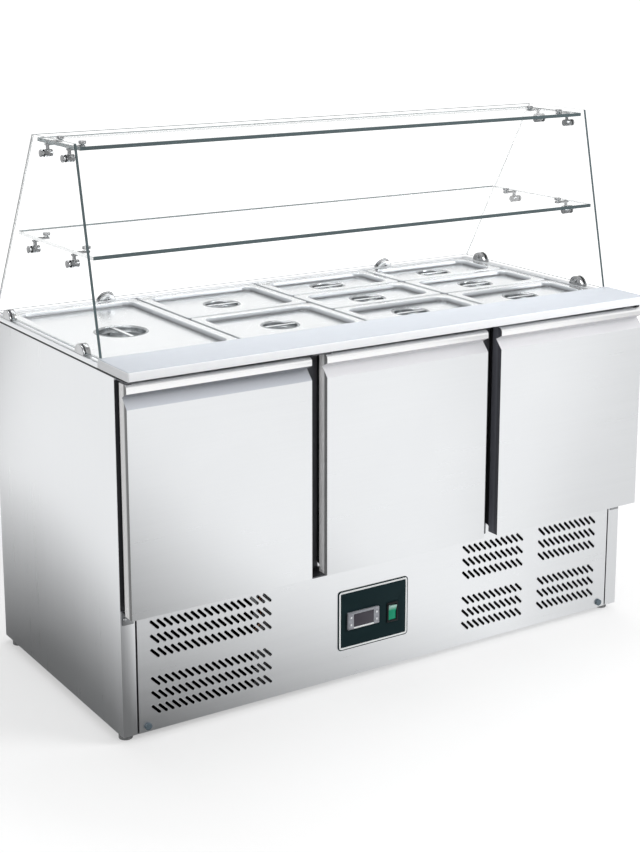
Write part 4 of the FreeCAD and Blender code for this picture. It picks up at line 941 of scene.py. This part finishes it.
class SALADETTE_OT_cabinet(bpy.types.Operator):
    """Dress the side panels, worktop, back, base, foam and front frame"""
    bl_idname = "saladette.cabinet"
    bl_label = "Cabinet"

    def execute(self, context):
        plastic = settings().plastic
        for node in ("left_side_panel", "right_side_panel"):
            dress(node, sheet_steel("z"), settings().steel.fold / MM)
        dress("worktop_frame", sheet_steel("x"), 0.8)
        dress("pan_support_bars", sheet_steel("y"), 0.6)
        plain("back_panel", zinc_sheet())
        plain("base_pan", zinc_sheet())
        # Dark plastic for the uprights, rail and blocks below the uprights, partly painted shade for the gaps.
        dark = moulded_plastic("dark_profile", plastic.profile, 0.42, 600.0, 0.10)
        dress("door_mullions", dark, 1.5)
        dress("front_rail", dark, 1.5)
        self.strips(moulded_plastic("post_strip", plastic.strip, 0.42, 600.0, 0.10), dark)
        paint("inner_liner", sheet_steel("x"))
        # The insulation is painted dark as shade for the gap under the worktop.
        paint("insulation", moulded_plastic("foam", plastic.foam, 0.85, 260.0, 0.5))
        return {"FINISHED"}

    def strips(self, strip, dark):
        """Thin dark strips on the posts, where the outer doors' seals close, partly painted shade for the gap
        behind the doors; and blocks below the uprights in the profile's partly painted shade.
        """
        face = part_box("kick_panel")[0].y
        front, back = face - 0.2 * MM, face + 0.1 * MM
        low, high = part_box("door_left_skin")
        limits = []
        for outer, inner in ((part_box("left_side_panel")[0].x, MM), (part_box("right_side_panel")[1].x, -MM)):
            start, stop = sorted((outer + inner, outer + 18 * inner))
            limits.append(((start, front, low.z + 2 * MM), (stop, back, high.z - 1 * MM)))
        add_on(coat(blocks("seal_strips", limits, 0.1 * MM, 1), strip), "cabinet")
        deck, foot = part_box("kick_panel")[1].z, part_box("door_mullions")[0].z
        limits = []
        for left, right in zip(DOORS, DOORS[1:]):
            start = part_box(f"door_{left}_gasket")[1].x - 6 * MM
            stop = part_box(f"door_{right}_gasket")[0].x + 6 * MM
            limits.append(((start, front, deck + 0.2 * MM), (stop, back, foot + 1 * MM)))
        add_on(coat(blocks("foot_strips", limits, 0.1 * MM, 1), dark), "cabinet")


class SALADETTE_OT_kick_panel(bpy.types.Operator):
    """Dress the slotted kick panel and roll the edges of its slots"""
    bl_idname = "saladette.kick_panel"
    bl_label = "Kick panel"

    def execute(self, context):
        size = settings().fitting
        plain("kick_panel", sheet_steel("x"))
        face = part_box("kick_panel")[0].y
        for name, columns, start in SLOT_GROUPS:
            width = (columns - 1) * size.slot_pitch
            centre = Vector((start * MM + width / 2, face, size.slot_first + size.slot_row))
            obj = grown(f"slot_rims_{name}", slot_tree(), Columns=columns, Width=width,
                        Height=2 * size.slot_row, Block=Vector((0, size.slot_block, 0)), Start=centre,
                        Slot_length=size.slot_length, Slot_width=size.slot_width,
                        Round=size.slot_width * 0.49, Rim=size.slot_rim,
                        Tilt=Vector((0, 0, -size.slot_tilt)), Material=sheet_steel("x"))
            add_on(obj, "cabinet")
        return {"FINISHED"}


class SALADETTE_OT_doors(bpy.types.Operator):
    """Dress the door skins, inner panels and ribbed gaskets"""
    bl_idname = "saladette.doors"
    bl_label = "Doors"

    def execute(self, context):
        for name in DOORS:
            self.skin(f"door_{name}_skin", settings().steel)
            paint(f"door_{name}_core", door_lining())
            self.inner_panel(name)
            self.gasket(f"door_{name}_gasket", settings().fitting)
        return {"FINISHED"}

    def skin(self, node, steel):
        """A folded skin: bright face, a handle fold with painted shade that darkens towards the bar, narrow
        sides with a painted reflection, a fold line painted dark as shade and a bar painted brighter as a
        highlight.
        """
        low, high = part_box(node)
        fold, foot = high.z - 19 * MM, high.z - 52 * MM
        obj = eased(node_copy(node), steel.fold, 3)
        # The handle fold gets painted shade: darker towards the bar, and darker overall on the left door.
        look, base, spread = (("shaded_fold", steel.shaded, 0.36) if "left" in node
                              else ("open_fold", steel.open_fold, 0.12))
        handle = brushed_steel(look, base, 0.55, ALONG["x"], steel.grain,
                               fade=("Z", fold - 6 * MM, foot, spread), metallic=0.7)
        # The narrow sides get a painted reflection: dark at the front, light behind; on the right door they
        # are dark as painted shade.
        look, base, spread = (("dark_edge", steel.dark_side, 0.3) if "right" in node
                              else ("dull_edge", steel.side, 0.75))
        side = brushed_steel(look, base, 0.55, ALONG["z"], steel.grain,
                             fade=("Y", low.y + 10 * MM, low.y + 14 * MM, spread), metallic=0.0)
        # The rolled bar gets a painted highlight: a brighter copy of the sheet steel.
        nose = brushed_steel("bright_nose", steel.nose, 0.22, ALONG["x"], steel.grain)
        coat(obj, sheet_steel("x"), handle, side, seam_line(), nose)

        def in_fold(face):
            return foot < face.center.z < fold and face.normal.y < -0.2 and abs(face.normal.z) > 0.3

        def at_side(face):
            return abs(face.normal.x) > 0.9 and min(face.center.x - low.x, high.x - face.center.x) < 0.5 * MM

        def at_edge(face):
            return (-0.9 < face.normal.x < -0.3 and face.normal.y < -0.3
                    and face.center.x - low.x < 1.5 * steel.fold)

        def on_bar(face):
            return face.center.z > fold and face.normal.y < -0.05 and abs(face.normal.x) < 0.3
        stand_for(sort_faces(obj, in_fold, at_side, at_edge, on_bar), node)

    def inner_panel(self, name):
        """The raised inner panel of a door, within its gasket."""
        low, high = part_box(f"door_{name}_gasket")
        middle, half = middle_of(low, high)
        inset = 20 * MM
        rings = stepped(ring_maker(half.x - inset, half.z - inset, 6, 3), 0, 0, 0, DOOR_PANEL)
        obj = lofted(f"door_{name}_inner_panel", rings, on_front(middle, low.y, 1), flip=True)
        add_on(coat(smoothed(obj, 50), door_lining()), f"door_{name}")

    def gasket(self, node, size):
        low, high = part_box(node)
        span = high - low
        obj = grown(node + "_look", gasket_tree(), Width=span.x - 2 * size.seal,
                    Height=span.z - 2 * size.seal, Corner=6 * MM, Outer=size.seal,
                    Inner=size.seal - size.rib, Section=Vector((1, span.y / (2 * size.seal), 1)),
                    Centre=(low + high) / 2, Material=rubber())
        stand_for(obj, node)


class SALADETTE_OT_hardware(bpy.types.Operator):
    """Dress the hinges, screw caps, feet and back screws"""
    bl_idname = "saladette.hardware"
    bl_label = "Hinges, screws and feet"

    def execute(self, context):
        plastic = settings().plastic
        hinges = eased(node_copy("hinge_brackets"), 0.5 * MM)
        low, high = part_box("hinge_brackets")
        middle, tab = (low.z + high.z) / 2, high.y - 4 * MM
        # The brackets are painted darker as shade under the doors; faces above the middle or ahead of the
        # rearmost 4 mm get the dark painted shade.
        coat(hinges, fitting_plate("bracket_plate", settings().steel.bracket, 0.05, 1.0), seam_line())
        sort_faces(hinges, lambda face: face.center.z > middle or face.center.y < tab)
        stand_for(hinges, "hinge_brackets")
        caps = eased(node_copy("panel_screws"), 0.7 * MM)
        coat(caps, moulded_plastic("screw_cap", plastic.cap, 0.40), chrome())
        stand_for(sort_faces(caps, lambda face: face.center.z > 100 * MM), "panel_screws")
        dress("feet", moulded_plastic("foot_plastic", plastic.foot, 0.5), 1.2)
        dress("cord_grommet", rubber(), 0.6)
        low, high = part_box("back_panel")
        points = []
        for step in range(8):
            x = low.x + 40 * MM + (high.x - low.x - 80 * MM) * step / 7
            points += [Vector((x, high.y, z)) for z in (low.z + 18 * MM, high.z - 18 * MM)]
        screws("back_screws", points, (0, 1, 0), 4 * MM, 1.6 * MM, "cabinet")
        return {"FINISHED"}


class SALADETTE_OT_pans(bpy.types.Operator):
    """Dress the pans and lids"""
    bl_idname = "saladette.pans"
    bl_label = "Pans and lids"

    def execute(self, context):
        size = settings().pressed
        self.pans(size)
        for node in LIDS:
            self.lid(node, size)
        return {"FINISHED"}

    def pans(self, size):
        """Pressed pans, one under each lid."""
        low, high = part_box("gn_pans")
        deep = low.z + size.gauge - high.z
        rim = size.pan_flange + size.gauge
        bm = bmesh.new()
        for node in LIDS:
            centre, half = middle_of(*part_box(node))
            ring = ring_maker(half.x + size.lid_inset, half.y + size.lid_inset, size.corner_steps,
                              size.side_steps)
            rings = (stepped(ring, 0, 0, size.edge_corner, PAN_EDGE)
                     + stepped(ring, rim, 0, size.pan_corner, PAN_RIM)
                     + stepped(ring, rim + size.pan_taper, deep, size.pan_corner, PAN_FOOT))
            loft(bm, rings, on_top(centre, high.z))
        obj = thickened(object_from(bm, "gn_pans_look"), size.gauge)
        # The pans show in the gaps round the lids, painted dark as shade.
        stand_for(coat(smoothed(obj, 40), drawn_steel()), "gn_pans")

    def lid(self, node, size):
        """A pressed lid: flat rim, rolled edge, sunk panel, finger cup and grip bar."""
        low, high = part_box(node)
        centre, half = middle_of(low, high)
        top, bead = high.z, size.bead
        full = half.y > 200 * MM
        cup = size.full_cup_radius if full else size.cup_radius
        ring = ring_maker(half.x, half.y, size.corner_steps, size.side_steps)
        foot = size.flange + 3 * MM
        turns = [math.pi * step / 12 for step in range(7)]
        rings = stepped(ring, 0, 0, size.edge_corner, LID_EDGE)
        rings.append(ring(size.flange - 2.6 * bead, 0, size.lid_corner + 2 * bead))
        rings += [ring(size.flange - bead * (1 - math.sin(turn)), bead * (math.cos(turn) - 1),
                       size.lid_corner + bead * (1 - math.sin(turn))) for turn in turns]
        rings += [ring(foot + bead * (1 - math.cos(turn)), bead * (1 - math.sin(turn)) - size.sink,
                       size.lid_corner - 3 * MM) for turn in turns]
        last = ring(foot + 2 * bead, -size.sink, size.lid_corner - 4 * MM)
        floor = -size.sink - size.cup
        rings.append(last)
        rings += [round_ring(last, cup + out * MM, up * MM - size.sink) for out, up in CUP_LIP]
        rings += [round_ring(last, cup + out * MM, up * MM + floor) for out, up in CUP_FOOT]
        rings.append(round_ring(last, cup * 0.5, floor))
        obj = thickened(lofted(node + "_look", rings, on_top(centre, top)), size.gauge)
        self.grip(obj, Vector((centre.x, centre.y, top - size.sink)), cup, full, size)
        # Painted light on the sloped walls: light at the top, dark at the foot.
        wall = brushed_steel("lid_wall", settings().steel.wall, 0.34, (0.05, 1.0, 1.0), 420.0, 0.05,
                             ("Z", top - size.sink, top - 0.05 * size.sink, 0.8), 0.5)
        bright = pressed_steel("pressed_steel", settings().steel.pressed)
        coat(smoothed(obj, 40), bright, drawn_steel(), wall)
        below_grip = top - size.sink - size.grip_gauge - 1 * MM

        def from_middle(face):
            return math.hypot(face.center.x - centre.x, face.center.y - centre.y)

        # Faces in the cup get the dark painted shade.
        def in_cup(face):
            return from_middle(face) < cup + 8 * MM and (abs(face.normal.z) < 0.975
                                                         or face.center.z < below_grip)

        def on_wall(face):
            return (from_middle(face) > cup + 12 * MM and face.center.z < top - 0.12 * bead
                    and abs(face.normal.z) < 0.97)
        stand_for(sort_faces(obj, in_cup, on_wall), node)

    def grip(self, obj, panel, cup, full, size):
        """The bar across a finger cup, along Y on the full-size lid."""
        long, short = cup + 1.2 * MM, size.grip_width / 2
        reach = Vector((short, long, 0)) if full else Vector((long, short, 0))
        top = panel + Vector((0, 0, 0.2 * MM))
        bm = bmesh.new()
        bm.from_mesh(obj.data)
        add_block(bm, top - reach - Vector((0, 0, size.grip_gauge)), top + reach, 1.1 * MM, 3)
        bm.to_mesh(obj.data)
        bm.free()


class SALADETTE_OT_board(bpy.types.Operator):
    """Dress the cutting board"""
    bl_idname = "saladette.board"
    bl_label = "Cutting board"

    def execute(self, context):
        plastic = settings().plastic
        board = eased(node_copy("cutting_board"), 1.0 * MM, 2, 50)
        # The edges get a lighter copy of the board's plastic, as painted light.
        coat(board, board_plastic("board_top", plastic.board),
             board_plastic("board_edge", plastic.board_edge))
        stand_for(sort_faces(board, lambda face: face.normal.z < 0.6), "cutting_board")
        return {"FINISHED"}


class SALADETTE_OT_glass(bpy.types.Operator):
    """Dress the panes, glass shelves, clamps and shelf holders"""
    bl_idname = "saladette.glass"
    bl_label = "Glass display"

    def execute(self, context):
        low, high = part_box("rear_pane")
        lean = Vector((0, high.z - low.z, high.y - low.y)).normalized()
        shelves = sum(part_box("glass_shelves"), Vector()).z / 2
        self.pane("side_panes", Vector((1, 0, 0)), lambda face: face.normal.y > 0.3)
        self.pane("rear_pane", lean, lambda face: abs(face.normal.x) > 0.3)
        self.pane("glass_shelves", Vector((0, 0, 1)),
                  lambda face: abs(face.normal.x) > 0.3 and face.center.z < shelves)
        dress("shelf_holders", polished_metal("holder_metal", settings().steel.holder, 0.22), 0.8)
        dress("glass_fixings", fixing_metal(), 0.8)
        self.clamps(lean)
        foot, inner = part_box("worktop_frame")[1].z, high.y - 6 * MM / lean.y
        offset = Vector((0, -lean.z, lean.y)) * 10 * MM - lean * 5 * MM
        spots = [Vector((side * 400 * MM, inner, foot)) + offset for side in (-1, 1)]
        screws("rear_clamp_screws", spots, -lean, 4.5 * MM, 1.8 * MM, "cabinet")
        return {"FINISHED"}

    def pane(self, node, across, pale):
        """Glass with ground edges; across runs through its thickness, and pale picks the edges that get
        painted light: a paler chamfer and a flat painted as a highlight.
        """
        glass = settings().glass
        obj = eased(node_copy(node), glass.chamfer, 1)
        shade(obj, False)
        clear = (clear_glass("shelf_glass", glass.shelf_bending) if node == "glass_shelves"
                 else clear_glass("pane_glass", glass.bending))
        # Edges by facing: dark, painted lighter, and painted as a highlight.
        coat(obj, clear, glass_edge("glass_edge", glass.edge),
             glass_edge("pale_glass_edge", glass.pale), glass_edge("bright_glass_edge", glass.bright))

        def through(face):
            return abs(face.normal.dot(across))
        stand_for(sort_faces(obj, lambda face: through(face) < 0.95 and not pale(face),
                             lambda face: through(face) < 0.95 and pale(face),
                             lambda face: through(face) < 0.3 and pale(face)), node)

    def clamps(self, lean):
        """Half-round clamps: satin flat faces and polished rims, the rims painted darker than the faces as a
        painted reflection.
        """
        obj = eased(node_copy("glass_clamps"), 0.8 * MM)
        # The rims' dark colour is a painted reflection; the flat faces stay light.
        coat(obj, fixing_metal(), fitting_plate("clamp_face", settings().steel.clamp, 0.04, 0.6))
        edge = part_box("side_panes")[1].x - 40 * MM

        def flat(face):
            if abs(face.center.x) > edge:
                return math.copysign(1, face.center.x) * face.normal.x > 0.95
            return abs(face.normal.dot(lean)) > 0.95
        stand_for(sort_faces(obj, flat), "glass_clamps")


class SALADETTE_OT_controls(bpy.types.Operator):
    """Dress the control plate, controller, keys and switch"""
    bl_idname = "saladette.controls"
    bl_label = "Controls"

    def execute(self, context):
        plastic = settings().plastic
        for node, width, look, base, *skin in (
                ("control_plate", 0.5, "plate_black", plastic.plate, 0.34, 700.0, 0.05, 0.0, 0.03),
                ("switch_frame", 0.6, "switch_black", plastic.switch, 0.30, 600.0, 0.05, 0.0, 0.15),
                ("controller_case", 0.8, "case_grey", plastic.case, 0.36, 800.0, 0.08),
                ("controller_lens", 0.3, "display_lens", plastic.display, 0.12, 60.0, 0.01, 0.15)):
            dress(node, moulded_plastic(look, base, *skin), width)
        for node in KEYS:
            dress(node, moulded_plastic("key_grey", plastic.key, 0.4, 700.0, 0.08), 0.9, 3)
        low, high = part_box("switch_rocker")
        # The rocker's upper part gets a painted highlight, from this height up.
        tip = high.z - 0.36 * (high.z - low.z)
        tints = plastic.rocker, plastic.rocker_highlight
        dress("switch_rocker", clear_green("rocker_green", tints, tip, high.z - 2 * MM), 2.0, 4)
        self.plate_line()
        self.bezel_strip()
        for node in KEYS:
            self.key_mark(node)
        return {"FINISHED"}

    def plate_line(self):
        """The pale line printed round the plate."""
        low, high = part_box("control_plate")
        middle, half = middle_of(low, high)
        rings = stepped(ring_maker(half.x, half.z, 6, 1), 0, 0, 0, PLATE_LINE)
        obj = lofted("plate_line", rings, on_front(middle, low.y, -1), close=False)
        add_on(coat(smoothed(obj, 30), line_white()), "cabinet")

    def bezel_strip(self):
        """A bright strip under the display."""
        case, (low, high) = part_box("controller_case")[0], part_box("controller_lens")
        limits = ((low.x, case.y - 0.3 * MM, case.z + 1.2 * MM),
                  (high.x, case.y + 0.2 * MM, low.z - 0.6 * MM))
        add_on(coat(blocks("bezel_strip", [limits], 0.2 * MM, 2), line_white()), "cabinet")

    def key_mark(self, node):
        """A small plain mark on a key: a triangle on the right, a dot on the left."""
        low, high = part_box(node)
        middle, half = middle_of(low, high)
        corners, part = (3, 0.84) if "right" in node else (12, 0.56)
        first = math.pi / 2 if "upper" in node else -math.pi / 2
        turns = [first + math.tau * step / corners for step in range(corners)]
        ring = [Vector((math.cos(turn), math.sin(turn), 0)) * part * min(half.x, half.z) for turn in turns]
        crown = [point * 0.9 + Vector((0, 0, 0.15 * MM)) for point in ring]
        obj = lofted(node + "_mark", [ring, crown], on_front(middle, low.y, -1))
        add_on(coat(obj, line_white()), NODES[node]["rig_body"])


class SALADETTE_OT_inside(bpy.types.Operator):
    """Dress the racks, coils, fan, compressor and pipes"""
    bl_idname = "saladette.inside"
    bl_label = "Inside"

    def execute(self, context):
        steel, plastic = settings().steel, settings().plastic
        dress("rack_runners", sheet_steel("y"), 0.8)
        self.racks(settings().fitting, moulded_plastic("coated_wire", plastic.wire, 0.35, 300.0, 0.05, 0.2))
        fins = finned("coil_fins", steel.fins, 0.38)
        paint("evaporator_coil", fins)
        paint("condenser_coil", finned("coated_fins", steel.coated, 0.45))
        dress("fan_frame", zinc_sheet(), 0.5, 1)
        dress("fan_blade", fins, 0.5, 1)
        dress("compressor", moulded_plastic("shell_enamel", plastic.shell, 0.28, 300.0, 0.05, 0.3), 1.0)
        plain("refrigerant_pipes", polished_metal("drawn_copper", steel.copper, 0.25), 35)
        return {"FINISHED"}

    def racks(self, size, coated):
        """Three wire racks, each from its own limits."""
        low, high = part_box("wire_racks")
        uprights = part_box("door_mullions")
        post = (uprights[1].x - uprights[0].x - size.post) / 2
        front, back = low.y + 2 * MM, high.y - 2 * MM
        bm = bmesh.new()
        for left, right in ((low.x, -post - 1 * MM), (1 * MM - post, post - 1 * MM), (post + 1 * MM, high.x)):
            left, right = left + 2 * MM, right - 2 * MM
            count = int((right - left) / size.wire_pitch) + 1
            part = grown("rack", rack_tree(), Count=count, Width=right - left, Depth=back - front,
                         Wire=size.wire, Start=Vector((left, (front + back) / 2, high.z - size.wire)),
                         Step=Vector(((right - left) / (count - 1), 0, 0)),
                         Cross_start=Vector(((left + right) / 2, front, low.z + size.wire)),
                         Cross_step=Vector((0, (back - front) / 2, 0)), Material=coated)
            bm.from_mesh(part.data)
            bpy.data.objects.remove(part)
        obj = object_from(bm, "wire_racks_look")
        stand_for(smoothed(coat(obj, coated), 40), "wire_racks")


class SALADETTE_OT_stage(bpy.types.Operator):
    """Set up the floor, soft light, white surround and camera"""
    bl_idname = "saladette.stage"
    bl_label = "Stage"

    def execute(self, context):
        studio = settings().studio
        context.scene.view_settings.view_transform = "Standard"
        self.floor(studio)
        self.sky(context, studio)
        self.lamp("key_light", (2.6, -3.0, 2.7), (0.1, -0.2, 0.4), 2.6, studio.key).visible_glossy = False
        self.lamp("fill_light", (-3.4, -2.2, 2.2), (0, 0, 0.6), 3.0, studio.fill)
        self.lamp("top_light", (0.2, 0.6, 3.4), (0, 0, 0.7), 2.4, studio.top)
        self.camera(context, studio)
        return {"FINISHED"}

    def seen(self, tree):
        """One for rays from the camera or through glass, and one for rays from mirrors."""
        path = tree.nodes.new("ShaderNodeLightPath").outputs
        through = path["Is Transmission Ray"]
        direct = math_node(tree, "MAXIMUM", path["Is Camera Ray"], through)
        return direct, math_node(tree, "MULTIPLY", path["Is Glossy Ray"], map_range(tree, through, 1.0, 0.0))

    def floor(self, studio):
        """A pale floor with a shadow; steel mirrors it darker near the part and beyond its right end."""
        mesh = bpy.data.meshes.new("floor")
        corners = [(FLOOR_REACH * x, FLOOR_REACH * y, 0) for x, y in ((-1, -1), (1, -1), (1, 1), (-1, 1))]
        mesh.from_pydata(corners, [], [(0, 1, 2, 3)])
        material, tree, shader, place = blank_material("studio_floor")
        direct, glossy = self.seen(tree)
        mirror, right = (studio.mirror_near, studio.mirror_far), (1.0, studio.mirror_right)

        def along(direction, limits, glow):
            reached = math_node(tree, "DOT_PRODUCT", place, direction, kind=VECTOR_MATH, result="Value")
            return map_range(tree, reached, *glow, *limits)
        away = math_node(tree, "LENGTH", place, kind=VECTOR_MATH, result="Value")
        white = map_range(tree, away, studio.glow, 1.0, studio.near, studio.far)
        around = map_range(tree, away, *mirror, *AROUND)
        open_floor = math_node(tree, "MAXIMUM", along(*AHEAD, mirror), around)
        beside = math_node(tree, "MAXIMUM", along(*RIGHT_BACK, right), along(*RIGHT_END, right))
        mirrored = math_node(tree, "MULTIPLY", open_floor, beside)
        feed(tree, shader, Roughness=1.0, Specular_IOR_Level=0.0, Emission_Color=(1, 1, 1, 1),
             Base_Color=map_range(tree, glossy, studio.floor, studio.mirror_floor),
             Emission_Strength=weighted(tree, (direct, white), (glossy, mirrored)))
        coat(new_object("floor", mesh), material)

    def sky(self, context, studio):
        """White to the camera and to mirrors, less so straight above, and an even light on the rest."""
        world = bpy.data.worlds.new("studio_white")
        world.use_nodes = True
        tree = world.node_tree
        direct, glossy = self.seen(tree)
        up = axis_of(tree, tree.nodes.new("ShaderNodeTexCoord").outputs["Generated"], "Z")
        overhead = map_range(tree, up, 1.0, studio.zenith, 0.45, 0.95)
        white = weighted(tree, (direct, 1.0), (glossy, overhead))
        even = map_range(tree, math_node(tree, "MAXIMUM", direct, glossy), studio.sky, 0.0)
        background = [node for node in tree.nodes if node.type == "BACKGROUND"][0]
        feed(tree, background, Color=(1, 1, 1, 1), Strength=math_node(tree, "ADD", white, even))
        context.scene.world = world

    def lamp(self, name, place, target, size, power):
        data = bpy.data.lights.new(name, "AREA")
        data.shape = "DISK"
        data.size = size
        data.energy = power
        obj = new_object(name, data)
        obj.location = place
        obj.rotation_euler = (Vector(target) - Vector(place)).to_track_quat("-Z", "Y").to_euler()
        return obj

    def camera(self, context, studio):
        data = bpy.data.cameras.new("photo_camera")
        data.sensor_width = 36
        data.lens = studio.lens
        data.shift_y = studio.shift
        data.clip_end = 200
        obj = new_object("photo_camera", data)
        obj.location = studio.camera_place
        obj.rotation_euler = (math.pi / 2 - studio.camera_dip, 0, -studio.camera_turn)
        context.scene.camera = obj


STEPS = (SALADETTE_OT_cabinet, SALADETTE_OT_kick_panel, SALADETTE_OT_doors, SALADETTE_OT_hardware,
         SALADETTE_OT_pans, SALADETTE_OT_board, SALADETTE_OT_glass, SALADETTE_OT_controls,
         SALADETTE_OT_inside, SALADETTE_OT_stage)


class SALADETTE_PT_panel(bpy.types.Panel):
    """Lists the steps that dress the part"""
    bl_idname = "SALADETTE_PT_panel"
    bl_label = "Saladette"
    bl_space_type = "VIEW_3D"
    bl_region_type = "UI"
    bl_category = "Saladette"

    def draw(self, context):
        for step in STEPS:
            self.layout.operator(step.bl_idname)


CLASSES = (SteelFinish, PlasticFinish, GlassFinish, PressedSizes, FittingSizes, StudioSettings,
           SaladetteSettings, *STEPS, SALADETTE_PT_panel)


def register():
    for item in CLASSES:
        bpy.utils.register_class(item)
    bpy.types.Scene.saladette = PointerProperty(type=SaladetteSettings, name="Saladette",
                                                description="Looks of the saladette")


def unregister():
    del bpy.types.Scene.saladette
    for item in reversed(CLASSES):
        bpy.utils.unregister_class(item)


def main():
    register()
    bpy.ops.saladette.cabinet()
    bpy.ops.saladette.kick_panel()
    bpy.ops.saladette.doors()
    bpy.ops.saladette.hardware()
    bpy.ops.saladette.pans()
    bpy.ops.saladette.board()
    bpy.ops.saladette.glass()
    bpy.ops.saladette.controls()
    bpy.ops.saladette.inside()
    bpy.ops.saladette.stage()


if __name__ == "__main__":
    main()
